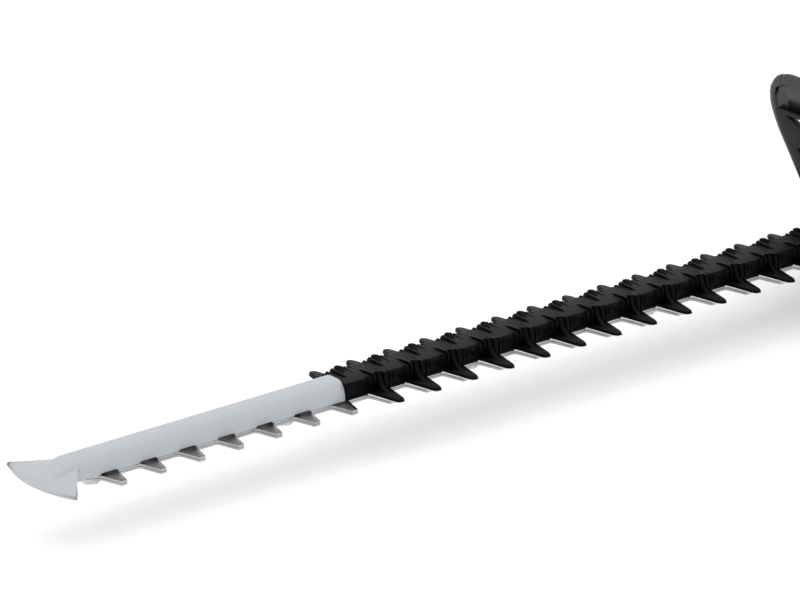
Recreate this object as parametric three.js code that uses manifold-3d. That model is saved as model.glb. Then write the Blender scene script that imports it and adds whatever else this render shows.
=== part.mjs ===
// Cordless hedge trimmer with a long double-sided cutter bar.
//
// Frame: millimetres, +X along the bar towards its tip, +Y to the user's left, +Z up.
// While it is modelled, x = 0 and y = 0 are on the drive axis and z = 0 is the middle plane of the
// comb fingers. At the end the whole model is moved so that the origin is the middle of the
// footprint, at the height of the surface that the trimmer rests on.

import * as THREE from 'three';
import { mergeVertices } from 'three/addons/utils/BufferGeometryUtils.js';
import { ConvexGeometry } from 'three/addons/geometries/ConvexGeometry.js';
import Module from 'manifold-3d';

const wasm = await Module();
wasm.setup();

// ---------- driving dimensions ----------

const GAP = 0.3;                 // clearance between pieces that touch
const RUN = 0.3;                 // clearance round pieces that turn or slide

// cutter bar
const PITCH = 30;                // tooth to tooth on one side; the other side is half a pitch behind
const COMB_PITCHES = 14;         // pitches covered by the black comb
const TIP_TEETH = 7;             // near-side teeth that stand clear under the tip guard
const FINGER_REACH = 37.15;      // bar centre line to the end of a comb finger
const FINGER_ROOT = 7.4;         // half width of a finger where it leaves the spine
const FINGER_TIP = 2.9;          // half width of a finger at its end
const FINGER_THICK = 2.4;
const FINGER_FILLET = 2.4;       // flare of a finger into the spine
const SPINE_HALF = 12.3;         // half width of the comb's spine
const SPINE_TOP = 10;
const RAIL_HALF = 9;             // half width of the guide bar
const RAIL_THICK = 7;
const BLADE_THICK = 1.4;
const BLADE_HALF = 11.4;         // half width of a blade between its teeth
const TOOTH_REACH = 27;
const TOOTH_ROOT = 6.2;
const TOOTH_TIP = 2.2;
const TOOTH_FILLET = 1.6;
const STROKE = 7.5;              // each blade moves this far either way; also the eccentrics' throw
const BOLT_PITCHES = 5;          // tooth pitches from one bar bolt to the next
const BAR_BOLTS = 5;
const BOLT_RADIUS = 3;
const BOLT_HEAD = 6.5;           // radius of a bolt head
const BOLT_HEAD_THICK = 4.5;

// tip guard
const SLEEVE_HALF = 11.6;
const SLEEVE_SHOULDER = [9.7, 10.2];
const SLEEVE_CROWN = 11.4;
const NOSE_LENGTH = 27;
const NOSE_HALF = 35.2;          // half width of the fan across its outer corners
const NOSE_SWEEP = 8;            // how far the outer corners lie behind the middle of the front edge
const NOSE_WALL = 2.3;

// drive
const CRANK_ROD = 52;            // connecting rod, eye to eye
const ROD_THICK = 4;
const ROD_RING = 3.6;            // wall of the rod's big end
const MODULE = 1.5;              // gear tooth size
const DRIVE_TEETH = 40;
const PINION_TEETH = 10;
const GEAR_THICK = 8;
const SHAFT_RADIUS = 5;
const LOBE_WALL = 1.5;           // least metal between the crank shaft and a lobe's edge
const MOTOR_SHAFT = 3;
const CASE_WALL = 4;
const CASE_ROOM = 2;             // from the drive gear's pitch circle to the case's side walls
const CASE_TOP = 24;
const CASE_FRONT = 84;
const MOTOR_RADIUS = 26;
const MOTOR_LENGTH = 46;

// body
const WALL = 3;
const CASE_SPACE = 3;            // between the gear case and the housing's side walls
const BAY_SPACE = 3.5;           // between the battery pack and the housing's side walls
const BAY_FLOOR = 3.7;           // between the battery pack and the housing's bottom
const FOOT_HEIGHT = 4;
const NOSE_FACE = 104;           // front face of the housing
const DECK = 32;                 // top of the housing under the front handle
const HUMP_AHEAD = 6.7;          // from the motor's side to the front of the hump
const HUMP_BEHIND = 24.3;        // from the motor's side to the rear of the hump
const HUMP_ABOVE = 10.7;         // from the motor shaft's end to the top of the hump
const GRIP_HALF = 17;            // half width of the rear handle
const GRIP_THICK = 31;           // rear handle, top to bottom
const BODY_ROUND = 5;            // rounding of the housing's side edges
const GRIP_ROUND = 7;            // rounding of the rear handle's edges

// guard and front handle
const GUARD_THICK = 3.5;
const GUARD_HALF = 90.5;
const GUARD_TOP = 94.3;
const GUARD_RIM = 11;            // depth of the rim, towards the hand
const HANDLE_X = 52;
const HANDLE_TOP = 84;
const HANDLE_HALF = 69;
const TUBE_RADIUS = 12;
const SLEEVE_GRIP = 1.9;         // wall of the soft grip on the front handle
const BAIL_THICK = 5;
const BAIL_TRAVEL = 5;           // gap that the switch bail closes when it is squeezed

// battery
const PACK_HALF = 35.5;
const PACK_HEIGHT = 57;
const PACK_CAP = 16;             // length of the end cap outside the housing
const PACK_HEAD = 24.1;          // length of the pack in front of its cells
const CELL_RADIUS = 9.4;
const CELL_INSET = 16;           // from the housing's rear face to the middle of the first cell
const CELL_COLUMNS = 6;

// ---------- derived places ----------

const FINGER_LOW = -FINGER_THICK / 2;
const UPPER_BLADE_TOP = FINGER_LOW - GAP;
const LOWER_BLADE_TOP = UPPER_BLADE_TOP - BLADE_THICK - GAP;
const BLADE_BOTTOM = LOWER_BLADE_TOP - BLADE_THICK;
const GUARD_BACK = NOSE_FACE + GAP;
const GUARD_FRONT = GUARD_BACK + GUARD_THICK;
const COMB_REAR = GUARD_FRONT + 6.2;
const FIRST_FAR = COMB_REAR + 11;
const COMB_FRONT = FIRST_FAR + COMB_PITCHES * PITCH + 10.4;
const SLEEVE_REAR = COMB_FRONT + GAP;
const LAST_NEAR = FIRST_FAR + (COMB_PITCHES + TIP_TEETH - 0.5) * PITCH;
const SLEEVE_FRONT = LAST_NEAR + 24;
const BAR_TIP = SLEEVE_FRONT + NOSE_LENGTH;
const RAIL_REAR = CASE_FRONT + 4;
const RAIL_FRONT = SLEEVE_FRONT - 5;
const BLADE_FRONT = SLEEVE_FRONT - STROKE - 5;
const FIRST_BOLT = FIRST_FAR + PITCH / 2 + 6;
const ROOT_BOLT = RAIL_REAR + 10;
const ROD_REACH = Math.sqrt(CRANK_ROD ** 2 - STROKE ** 2);
const GEAR_RADIUS = MODULE * DRIVE_TEETH / 2;
const PINION_RADIUS = MODULE * PINION_TEETH / 2;
const MOTOR_X = -(GEAR_RADIUS + PINION_RADIUS + 0.2);
const TOE = Math.PI / DRIVE_TEETH;
const LOBE_RADIUS = STROKE + SHAFT_RADIUS + LOBE_WALL;
const UPPER_ROD_LOW = UPPER_BLADE_TOP + GAP;
const LOWER_ROD_TOP = BLADE_BOTTOM - GAP;
const CASE_FLOOR = LOWER_ROD_TOP - ROD_THICK - GAP;
const CASE_BOTTOM = CASE_FLOOR - CASE_WALL;
const GEAR_LOW = UPPER_ROD_LOW + ROD_THICK + 3;
const CASE_SPLIT = GEAR_LOW - 1;
const BAR_SLOT = RAIL_HALF + 5;  // half width of the way out for the bar
const CASE_REAR = MOTOR_X - PINION_RADIUS - 6.5;
const CASE_HALF = GEAR_RADIUS + CASE_ROOM + CASE_WALL;
const ENGINE_BOTTOM = CASE_TOP + GAP;
const ENGINE_TOP = ENGINE_BOTTOM + MOTOR_LENGTH;
const HUMP_FRONT = MOTOR_X + MOTOR_RADIUS + HUMP_AHEAD;
const HUMP_REAR = MOTOR_X - MOTOR_RADIUS - HUMP_BEHIND;
const FAN_LOW = ENGINE_TOP + 3;
const SHAFT_END = FAN_LOW + 9;
const HUMP_TOP = SHAFT_END + HUMP_ABOVE;
const BODY_HALF = Math.max(CASE_HALF + CASE_SPACE, PACK_HALF + BAY_SPACE) + WALL;
const CELL_PITCH = 2 * CELL_RADIUS - 0.3;
const PACK_LENGTH = CELL_INSET + (CELL_COLUMNS - 1) * CELL_PITCH + CELL_RADIUS + PACK_HEAD;
const BAY_TOP = DECK - WALL - GAP - 1;
const PACK_LOW = BAY_TOP - PACK_HEIGHT;
const PACK_FRONT = HUMP_REAR - 10;
const BODY_REAR = PACK_FRONT - PACK_LENGTH;
const BODY_BOTTOM = PACK_LOW - BAY_FLOOR - WALL;
const FLOOR = BODY_BOTTOM - FOOT_HEIGHT;

// ---------- colours ----------

const finish = (color, roughness, metalness) =>
  new THREE.MeshStandardMaterial({ color, roughness, metalness });
const BLACK = finish(0x1c1c1d, 0.6, 0);
const GREY = finish(0xc6cbd0, 0.5, 0);
const RUBBER = finish(0x262627, 0.9, 0);
const STEEL = finish(0x9fa3a6, 0.35, 1);
const ALLOY = finish(0xb4b6b8, 0.5, 1);
const BRONZE = finish(0xa8743c, 0.45, 1);
const BOARD = finish(0x1f5a35, 0.7, 0);

// ---------- solids ----------

function solid(geometry) {
  const bare = geometry.clone();
  bare.deleteAttribute('normal');
  bare.deleteAttribute('uv');
  const merged = mergeVertices(bare, 1e-4);
  const index = merged.index.array;
  const kept = [];
  for (let i = 0; i < index.length; i += 3) {
    const [a, b, c] = [index[i], index[i + 1], index[i + 2]];
    if (a !== b && b !== c && c !== a) kept.push(a, b, c);
  }
  return new wasm.Manifold(new wasm.Mesh({
    numProp: 3,
    vertProperties: new Float32Array(merged.attributes.position.array),
    triVerts: new Uint32Array(kept),
  }));
}

const join = (first, ...rest) => rest.reduce((whole, piece) => whole.add(piece), first);
const cut = (first, ...rest) => rest.reduce((whole, piece) => whole.subtract(piece), first);

const model = new THREE.Group();

function part(name, shape, material) {
  const { numProp, vertProperties, triVerts } = shape.getMesh();
  const points = [];
  for (let i = 0; i < vertProperties.length; i += numProp) {
    points.push(vertProperties[i], vertProperties[i + 1], vertProperties[i + 2]);
  }
  const geometry = new THREE.BufferGeometry();
  geometry.setAttribute('position', new THREE.Float32BufferAttribute(points, 3));
  geometry.setIndex(Array.from(triVerts));
  geometry.computeVertexNormals();
  const mesh = new THREE.Mesh(geometry, material);
  mesh.name = name;
  model.add(mesh);
  return mesh;
}

function box([x0, x1], [y0, y1], [z0, z1]) {
  const geometry = new THREE.BoxGeometry(x1 - x0, y1 - y0, z1 - z0);
  geometry.translate((x0 + x1) / 2, (y0 + y1) / 2, (z0 + z1) / 2);
  return solid(geometry);
}

// An outline from corners [a, b, radius]; a corner without a radius stays sharp.
function outline(corners) {
  const shape = new THREE.Shape();
  const count = corners.length;
  corners.forEach(([a, b, radius = 0], i) => {
    const corner = new THREE.Vector2(a, b);
    const [pa, pb] = corners[(i + count - 1) % count];
    const [na, nb] = corners[(i + 1) % count];
    const before = new THREE.Vector2(pa - a, pb - b);
    const after = new THREE.Vector2(na - a, nb - b);
    const reach = Math.min(radius, before.length() / 2, after.length() / 2);
    const start = before.setLength(reach).add(corner);
    const end = after.setLength(reach).add(corner);
    if (i === 0) shape.moveTo(start.x, start.y);
    else shape.lineTo(start.x, start.y);
    if (reach > 0) shape.quadraticCurveTo(a, b, end.x, end.y);
  });
  shape.closePath();
  return shape;
}

// The same corners moved in by a wall; a negative wall moves them out.
function inset(corners, wall) {
  const count = corners.length;
  let area = 0;
  corners.forEach(([a, b], i) => {
    const [na, nb] = corners[(i + 1) % count];
    area += a * nb - na * b;
  });
  const side = Math.sign(area) * wall;
  return corners.map(([a, b, radius = 0], i) => {
    const [pa, pb] = corners[(i + count - 1) % count];
    const [na, nb] = corners[(i + 1) % count];
    const u = new THREE.Vector2(a - pa, b - pb).normalize();
    const v = new THREE.Vector2(na - a, nb - b).normalize();
    const scale = side / (1 + u.dot(v));
    return [a + (-u.y - v.y) * scale, b + (u.x + v.x) * scale, radius];
  });
}

const AXES = {
  z: new THREE.Matrix4(),
  y: new THREE.Matrix4().makeBasis(
    new THREE.Vector3(1, 0, 0), new THREE.Vector3(0, 0, 1), new THREE.Vector3(0, -1, 0)),
  x: new THREE.Matrix4().makeBasis(
    new THREE.Vector3(0, 1, 0), new THREE.Vector3(0, 0, 1), new THREE.Vector3(1, 0, 0)),
};

// An outline pulled along an axis, from one place on it to another. The outline's two coordinates
// are x and y along z, x and z along y, and y and z along x. Its end edges can be rounded.
function slab(axis, corners, [from, to], { segments = 2, round = 0 } = {}) {
  const shape = Array.isArray(corners) ? outline(corners) : corners;
  const geometry = new THREE.ExtrudeGeometry(shape, {
    depth: to - from - 2 * round, curveSegments: segments, bevelEnabled: round > 0,
    bevelThickness: round, bevelSize: round, bevelOffset: -round, bevelSegments: 2,
  });
  geometry.translate(0, 0, (axis === 'y' ? -to : from) + round);
  geometry.applyMatrix4(AXES[axis]);
  return solid(geometry);
}

const rectangle = (a0, a1, b0, b1, radius = 0) =>
  [[a0, b0, radius], [a1, b0, radius], [a1, b1, radius], [a0, b1, radius]];

// A round bar along an axis; place holds its two other coordinates, in the order of slab().
function rod(axis, [a, b], radius, [from, to], sides = 16) {
  const geometry = new THREE.CylinderGeometry(radius, radius, to - from, sides);
  geometry.rotateX(Math.PI / 2);
  geometry.translate(a, b, axis === 'y' ? -(from + to) / 2 : (from + to) / 2);
  geometry.applyMatrix4(AXES[axis]);
  return solid(geometry);
}

function ring(axis, place, [inner, outer], span, sides = 16) {
  const longer = [span[0] - 1, span[1] + 1];
  return cut(rod(axis, place, outer, span, sides), rod(axis, place, inner, longer, sides));
}

// ---------- cutter bar ----------

const farPlaces = (count) => Array.from({ length: count }, (_, i) => FIRST_FAR + i * PITCH);
const nearPlaces = (count) => farPlaces(count).map((x) => x + PITCH / 2);
const boltPlaces = Array.from({ length: BAR_BOLTS }, (_, i) => FIRST_BOLT + i * BOLT_PITCHES * PITCH);

// A tapered tooth that points to side +1 or -1, from inside the strip that it grows from.
function tooth(x, side, strip, reach, root, tip, flare, span) {
  const half = [
    [root + flare, strip - 1],
    [root + flare, strip],
    [root, strip + flare],
    [tip, reach],
  ];
  const corners = [
    ...half.map(([across, out]) => [x - across, side * out]),
    ...half.map(([across, out]) => [x + across, side * out]).reverse(),
  ];
  return slab('z', corners, span);
}

const channelTop = FINGER_LOW + RAIL_THICK + GAP;

function combFinger(x, side) {
  return tooth(x, side, SPINE_HALF, FINGER_REACH, FINGER_ROOT, FINGER_TIP, FINGER_FILLET,
    [FINGER_LOW, FINGER_LOW + FINGER_THICK]);
}

function combGuard() {
  const section = [
    [-SPINE_HALF, FINGER_LOW],
    [SPINE_HALF, FINGER_LOW],
    [SPINE_HALF, SPINE_TOP, 2],
    [-SPINE_HALF, SPINE_TOP, 2],
  ];
  const fingers = [
    ...farPlaces(COMB_PITCHES + 1).map((x) => combFinger(x, -1)),
    ...nearPlaces(COMB_PITCHES).map((x) => combFinger(x, 1)),
  ];
  const whole = join(slab('x', section, [COMB_REAR, COMB_FRONT]), ...fingers);
  const half = RAIL_HALF + GAP;
  return cut(whole, box([COMB_REAR - 1, COMB_FRONT + 1], [-half, half], [FINGER_LOW - 1, channelTop]));
}

function tipGuard() {
  const [shoulder, shoulderTop] = SLEEVE_SHOULDER;
  const section = [
    [-SLEEVE_HALF, FINGER_LOW],
    [SLEEVE_HALF, FINGER_LOW],
    [SLEEVE_HALF, 0],
    [shoulder, shoulderTop, 2],
    [0, SLEEVE_CROWN + 0.4, 6],
    [-shoulder, shoulderTop, 2],
    [-SLEEVE_HALF, 0],
  ];
  const half = RAIL_HALF + GAP;
  const frontArc = (inwards, z) => Array.from({ length: 13 }, (_, i) => {
    const across = i / 6 - 1;
    const x = BAR_TIP - NOSE_SWEEP * across ** 2 - inwards;
    return new THREE.Vector3(x, across * (NOSE_HALF - inwards), z);
  });
  const rear = (inwards) => [-1, 1].flatMap((side) => [
    new THREE.Vector3(SLEEVE_FRONT - 1, side * (SLEEVE_HALF - inwards), FINGER_LOW - inwards),
    new THREE.Vector3(SLEEVE_FRONT - 1, side * (shoulder - inwards), shoulderTop - inwards),
    new THREE.Vector3(SLEEVE_FRONT - 1, side * 4, SLEEVE_CROWN - inwards),
  ]);
  const fan = solid(new ConvexGeometry([...rear(0), ...frontArc(0, 1.2), ...frontArc(0.4, -1)]));
  const hollow = solid(new ConvexGeometry([
    ...rear(NOSE_WALL), ...frontArc(NOSE_WALL + 1.5, -0.6), ...frontArc(NOSE_WALL + 1.5, -5),
    ...rear(NOSE_WALL).map((p) => p.clone().setZ(-8)),
  ]));
  const channel = box([SLEEVE_REAR - 1, SLEEVE_FRONT - 4], [-half, half], [FINGER_LOW - 1, channelTop]);
  const notches = nearPlaces(COMB_PITCHES + TIP_TEETH).slice(-TIP_TEETH)
    .flatMap((x) => [[x, 1], [x - PITCH / 2, -1]])
    .filter(([x]) => x - 6 > SLEEVE_REAR)
    .map(([x, side]) => {
      const [y0, y1] = side > 0 ? [half - 1, SLEEVE_HALF + 1] : [-SLEEVE_HALF - 1, 1 - half];
      return box([x - 6.2, x + 6.2], [y0, y1], [FINGER_LOW - 1, FINGER_LOW + 1.4]);
    });
  const sleeve = slab('x', section, [SLEEVE_REAR, SLEEVE_FRONT]);
  return cut(join(sleeve, fan), hollow, channel, ...notches);
}

function guideBar() {
  const half = RAIL_HALF;
  const rail = box([RAIL_REAR, RAIL_FRONT], [-half, half], [FINGER_LOW, FINGER_LOW + RAIL_THICK]);
  const holes = [ROOT_BOLT, ...boltPlaces]
    .map((x) => rod('z', [x, 0], BOLT_RADIUS + GAP, [FINGER_LOW - 1, FINGER_LOW + RAIL_THICK - 1.5], 12));
  return cut(rail, ...holes);
}

const TANG_HALF = 9;
const TANG_REAR = ROD_REACH - 8;
const PIN_RADIUS = 3;

// A blade with teeth on both sides, slots for the bar bolts and a tang with a hole for its pin.
function blade(top) {
  const span = [top - BLADE_THICK, top];
  const strip = slab('z', rectangle(COMB_REAR, BLADE_FRONT, -BLADE_HALF, BLADE_HALF, 4), span);
  const tang = slab('z', rectangle(TANG_REAR, COMB_REAR + 10, -TANG_HALF, TANG_HALF, 6), span);
  const cutter = (x, side) =>
    tooth(x, side, BLADE_HALF, TOOTH_REACH, TOOTH_ROOT, TOOTH_TIP, TOOTH_FILLET, span);
  const teeth = [
    ...farPlaces(COMB_PITCHES + TIP_TEETH).map((x) => cutter(x, -1)),
    ...nearPlaces(COMB_PITCHES + TIP_TEETH).map((x) => cutter(x, 1)),
  ];
  const slotHalf = BOLT_RADIUS + GAP;
  const through = [span[0] - 1, span[1] + 1];
  const slots = [ROOT_BOLT, ...boltPlaces].map((x) => {
    const reach = STROKE + slotHalf + GAP;
    return slab('z', rectangle(x - reach, x + reach, -slotHalf, slotHalf, slotHalf), through);
  });
  const eye = rod('z', [ROD_REACH, 0], PIN_RADIUS + GAP, through, 12);
  return cut(join(strip, tang, ...teeth), ...slots, eye);
}

// A bar bolt from below, with its washer face under whatever it clamps.
function barBolt(x, seat) {
  const head = rod('z', [x, 0], BOLT_HEAD, [seat - BOLT_HEAD_THICK, seat - GAP], 6);
  const washer = rod('z', [x, 0], BOLT_HEAD + 1.6, [seat - 1.5 - GAP, seat - GAP], 16);
  const shank = rod('z', [x, 0], BOLT_RADIUS, [seat - 1, FINGER_LOW + RAIL_THICK - 2], 12);
  return join(head, washer, shank);
}

part('tip_guard', tipGuard(), GREY);
part('comb_guard', combGuard(), BLACK);
part('guide_bar', guideBar(), ALLOY);
part('upper_blade', blade(UPPER_BLADE_TOP), STEEL);
part('lower_blade', blade(LOWER_BLADE_TOP), STEEL);

const TONGUE_LOW = BLADE_BOTTOM - GAP - 6;
const TONGUE_FRONT = FIRST_BOLT + BOLT_HEAD + 4;
part('root_bolt', barBolt(ROOT_BOLT, TONGUE_LOW), STEEL);
boltPlaces.forEach((x, i) => {
  const seat = x < TONGUE_FRONT ? TONGUE_LOW : BLADE_BOTTOM;
  part(`bar_bolt_${i + 1}`, barBolt(x, seat), STEEL);
});

// ---------- drive ----------

function gear(teeth, span, place, turn) {
  const radius = MODULE * teeth / 2;
  const step = 2 * Math.PI / teeth;
  const shape = new THREE.Shape();
  const point = (r, angle) => [place + r * Math.cos(angle), r * Math.sin(angle)];
  for (let i = 0; i < teeth; i += 1) {
    const middle = i * step + turn;
    const flank = [
      point(radius - 1.25 * MODULE, middle - 0.3 * step),
      point(radius + 0.8 * MODULE, middle - 0.12 * step),
      point(radius + 0.8 * MODULE, middle + 0.12 * step),
      point(radius - 1.25 * MODULE, middle + 0.3 * step),
    ];
    flank.forEach(([x, y], k) => (i + k === 0 ? shape.moveTo(x, y) : shape.lineTo(x, y)));
  }
  shape.closePath();
  return slab('z', shape, span);
}

const GEAR_SPAN = [GEAR_LOW, GEAR_LOW + GEAR_THICK];
const THROUGH = [-100, 100];

function driveGear() {
  const web = 2.5;
  const pocket = ring('z', [0, 0], [SHAFT_RADIUS + 5, GEAR_RADIUS - 5],
    [GEAR_SPAN[0] + web, GEAR_SPAN[1] + 1], 20);
  const bore = rod('z', [0, 0], SHAFT_RADIUS + GAP, THROUGH);
  return cut(gear(DRIVE_TEETH, GEAR_SPAN, 0, 0), pocket, bore);
}

const BEARING_OUTER = 10;
const BEARING_THICK = 5;
const ROD_RING_RADIUS = LOBE_RADIUS + RUN + ROD_RING;

function eccentricShaft() {
  const upper = rod('z', [0, STROKE], LOBE_RADIUS, [UPPER_ROD_LOW, UPPER_ROD_LOW + ROD_THICK], 20);
  const lower = rod('z', [0, -STROKE], LOBE_RADIUS, [LOWER_ROD_TOP - ROD_THICK, LOWER_ROD_TOP], 20);
  const shaft = rod('z', [0, 0], SHAFT_RADIUS, [CASE_BOTTOM + 0.5, CASE_TOP - 0.5]);
  return join(shaft, upper, lower);
}

// A rod from an eccentric lobe at side +1 or -1 to its blade pin on the bar's centre line.
function connectingRod(side, low) {
  const span = [low, low + ROD_THICK];
  const big = rod('z', [0, side * STROKE], ROD_RING_RADIUS, span, 20);
  const small = rod('z', [ROD_REACH, 0], PIN_RADIUS + RUN + 3, span, 16);
  const beam = slab('z', [
    [4, side * STROKE - 8], [ROD_REACH - 2, -4], [ROD_REACH - 2, 4], [4, side * STROKE + 8],
  ], span);
  return cut(join(big, small, beam),
    rod('z', [0, side * STROKE], LOBE_RADIUS + RUN, THROUGH, 20),
    rod('z', [ROD_REACH, 0], PIN_RADIUS + RUN, THROUGH, 12));
}

// The flat outline of the gear case, round behind the pinion.
const caseOutline = [
  [CASE_REAR, -18, 8], [10 - GEAR_RADIUS, -CASE_HALF, 16], [GEAR_RADIUS, -CASE_HALF, 14],
  [CASE_FRONT, -BAR_SLOT - 6, 6], [CASE_FRONT, BAR_SLOT + 6, 6], [GEAR_RADIUS, CASE_HALF, 14],
  [10 - GEAR_RADIUS, CASE_HALF, 16], [CASE_REAR, 18, 8],
];

function caseBase() {
  const bowl = cut(
    slab('z', caseOutline, [CASE_BOTTOM, CASE_SPLIT]),
    slab('z', inset(caseOutline, CASE_WALL), [CASE_FLOOR, CASE_SPLIT + 1]));
  const tongue = box([CASE_FRONT - 2, TONGUE_FRONT], [-RAIL_HALF - 2, RAIL_HALF + 2],
    [TONGUE_LOW, BLADE_BOTTOM - GAP]);
  const boss = rod('z', [0, 0], BEARING_OUTER + 3, [CASE_BOTTOM - 3, CASE_FLOOR]);
  const mouth = box([CASE_FRONT - 12, CASE_FRONT + 3], [-RAIL_HALF - 2, RAIL_HALF + 2],
    [BLADE_BOTTOM - GAP, CASE_SPLIT + 1]);
  const bolts = [ROOT_BOLT, FIRST_BOLT].map((x) => rod('z', [x, 0], BOLT_RADIUS + GAP, THROUGH, 12));
  const seat = rod('z', [0, 0], BEARING_OUTER + GAP, [CASE_BOTTOM - 1, CASE_FLOOR + 1]);
  return cut(join(bowl, boss, tongue), mouth, seat, ...bolts);
}

function caseCover() {
  const lid = cut(
    slab('z', caseOutline, [CASE_SPLIT + GAP, CASE_TOP]),
    slab('z', inset(caseOutline, CASE_WALL), [CASE_SPLIT - 1, CASE_TOP - CASE_WALL]));
  return cut(lid,
    rod('z', [0, 0], BEARING_OUTER + GAP, THROUGH),
    rod('z', [MOTOR_X, 0], MOTOR_SHAFT + 1, THROUGH, 16));
}

const motor = [MOTOR_X, 0];
const END_PLATE = 5;

function motorCan() {
  const tube = ring('z', motor, [MOTOR_RADIUS - 1.8, MOTOR_RADIUS],
    [ENGINE_BOTTOM, ENGINE_TOP - END_PLATE], 20);
  const floor = rod('z', motor, MOTOR_RADIUS - 1, [ENGINE_BOTTOM, ENGINE_BOTTOM + END_PLATE], 20);
  const seat = rod('z', motor, BEARING_OUTER - 2 + GAP, THROUGH);
  return cut(join(tube, floor), seat);
}

function motorCap() {
  const cap = ring('z', motor, [BEARING_OUTER - 2 + GAP, MOTOR_RADIUS],
    [ENGINE_TOP - END_PLATE + GAP, ENGINE_TOP], 20);
  const windows = Array.from({ length: 6 }, (_, i) => {
    const angle = i * Math.PI / 3;
    const place = [MOTOR_X + 17 * Math.cos(angle), 17 * Math.sin(angle)];
    return rod('z', place, 4.5, THROUGH, 8);
  });
  return cut(cap, ...windows);
}

const STATOR_INNER = 15;

function stator() {
  const slots = Array.from({ length: 9 }, (_, i) => {
    const angle = i * 2 * Math.PI / 9;
    const place = [MOTOR_X + 18.5 * Math.cos(angle), 18.5 * Math.sin(angle)];
    return rod('z', place, 2.6, THROUGH, 6);
  });
  const core = ring('z', motor, [STATOR_INNER, MOTOR_RADIUS - 1.8 - GAP],
    [ENGINE_BOTTOM + END_PLATE + 4, ENGINE_TOP - END_PLATE - 4], 20);
  return cut(core, ...slots);
}

const FAN_RADIUS = MOTOR_RADIUS - 2;

function rotor() {
  const shaft = rod('z', motor, MOTOR_SHAFT, [GEAR_LOW - 0.5, SHAFT_END], 16);
  const drum = rod('z', motor, STATOR_INNER - 0.8,
    [ENGINE_BOTTOM + END_PLATE + 5, ENGINE_TOP - END_PLATE - 5], 20);
  return join(shaft, drum);
}

function fan() {
  const disc = rod('z', motor, FAN_RADIUS, [FAN_LOW, FAN_LOW + 2], 20);
  const hub = rod('z', motor, MOTOR_SHAFT + 4, [FAN_LOW, FAN_LOW + 8], 16);
  const vanes = Array.from({ length: 9 }, (_, i) => {
    const vane = new THREE.BoxGeometry(FAN_RADIUS - 7, 1.4, 7);
    vane.translate((FAN_RADIUS + 5) / 2, 0, FAN_LOW + 4.5);
    vane.rotateZ(i * 2 * Math.PI / 9);
    vane.translate(MOTOR_X, 0, 0);
    return solid(vane);
  });
  return cut(join(disc, hub, ...vanes), rod('z', motor, MOTOR_SHAFT + GAP, THROUGH, 16));
}

function bearing(place, [inner, outer], low) {
  return ring('z', place, [inner, outer], [low, low + BEARING_THICK], 20);
}

const pinion = cut(
  gear(PINION_TEETH, [GEAR_SPAN[0] + GAP, GEAR_SPAN[1] + 1], MOTOR_X, TOE * DRIVE_TEETH / PINION_TEETH),
  rod('z', motor, MOTOR_SHAFT + GAP, THROUGH, 16));

part('gear_case_base', caseBase(), ALLOY);
part('gear_case_cover', caseCover(), ALLOY);
part('drive_gear', driveGear(), STEEL);
part('eccentric_shaft', eccentricShaft(), STEEL);
part('upper_connecting_rod', connectingRod(1, UPPER_ROD_LOW), STEEL);
part('lower_connecting_rod', connectingRod(-1, LOWER_ROD_TOP - ROD_THICK), STEEL);
part('upper_blade_pin', rod('z', [ROD_REACH, 0], PIN_RADIUS,
  [UPPER_BLADE_TOP - BLADE_THICK, UPPER_BLADE_TOP], 12), STEEL);
part('lower_blade_pin', rod('z', [ROD_REACH, 0], PIN_RADIUS,
  [LOWER_BLADE_TOP - BLADE_THICK, LOWER_BLADE_TOP], 12), STEEL);
part('lower_crank_bearing',
  bearing([0, 0], [SHAFT_RADIUS + RUN, BEARING_OUTER], CASE_BOTTOM - 1), STEEL);
part('upper_crank_bearing',
  bearing([0, 0], [SHAFT_RADIUS + RUN, BEARING_OUTER], CASE_TOP - BEARING_THICK), STEEL);
part('pinion', pinion, STEEL);
part('motor_can', motorCan(), STEEL);
part('motor_cap', motorCap(), ALLOY);
part('stator', stator(), BRONZE);
part('rotor', rotor(), STEEL);
part('lower_motor_bearing',
  bearing(motor, [MOTOR_SHAFT + RUN, BEARING_OUTER - 2], ENGINE_BOTTOM), STEEL);
part('upper_motor_bearing',
  bearing(motor, [MOTOR_SHAFT + RUN, BEARING_OUTER - 2], ENGINE_TOP - BEARING_THICK), STEEL);
part('cooling_fan', fan(), BLACK);

// ---------- housing ----------

const GRIP_TOP_REAR = HUMP_TOP - 20;       // height of the rear handle's top at its back end
const GRIP_MIDDLE = HUMP_REAR - 77;
const POST_FRONT = BODY_REAR + 28;
const bodyProfile = [
  [NOSE_FACE, BODY_BOTTOM, 8], [NOSE_FACE, DECK, 10], [HUMP_FRONT + 6, DECK, 10],
  [HUMP_FRONT - 3, HUMP_TOP - 4, 16], [HUMP_REAR - 2, HUMP_TOP - 1, 16], [HUMP_REAR, DECK, 8],
  [BODY_REAR, DECK, 10], [BODY_REAR, BODY_BOTTOM, 8],
];
const loopProfile = [
  [HUMP_REAR + 18, DECK - 26], [HUMP_REAR + 18, HUMP_TOP - 2], [HUMP_REAR - 2, HUMP_TOP - 1, 8],
  [GRIP_MIDDLE, HUMP_TOP - 4, 30], [BODY_REAR, GRIP_TOP_REAR, 22], [BODY_REAR, DECK - 26],
];
const TRIGGER_X = HUMP_REAR - 24;
const gripLine = (x) => HUMP_TOP - 4 - GRIP_THICK + (x - GRIP_MIDDLE) * 0.2;
const gripLow = gripLine(GRIP_MIDDLE);
const fingerGap = [
  [HUMP_REAR - 4, DECK, 6], [HUMP_REAR - 4, gripLow - 1, 8], [TRIGGER_X, gripLow + 3, 8],
  [GRIP_MIDDLE, gripLow, 16], [POST_FRONT, gripLine(POST_FRONT), 10], [POST_FRONT - 1, DECK, 6],
];

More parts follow.
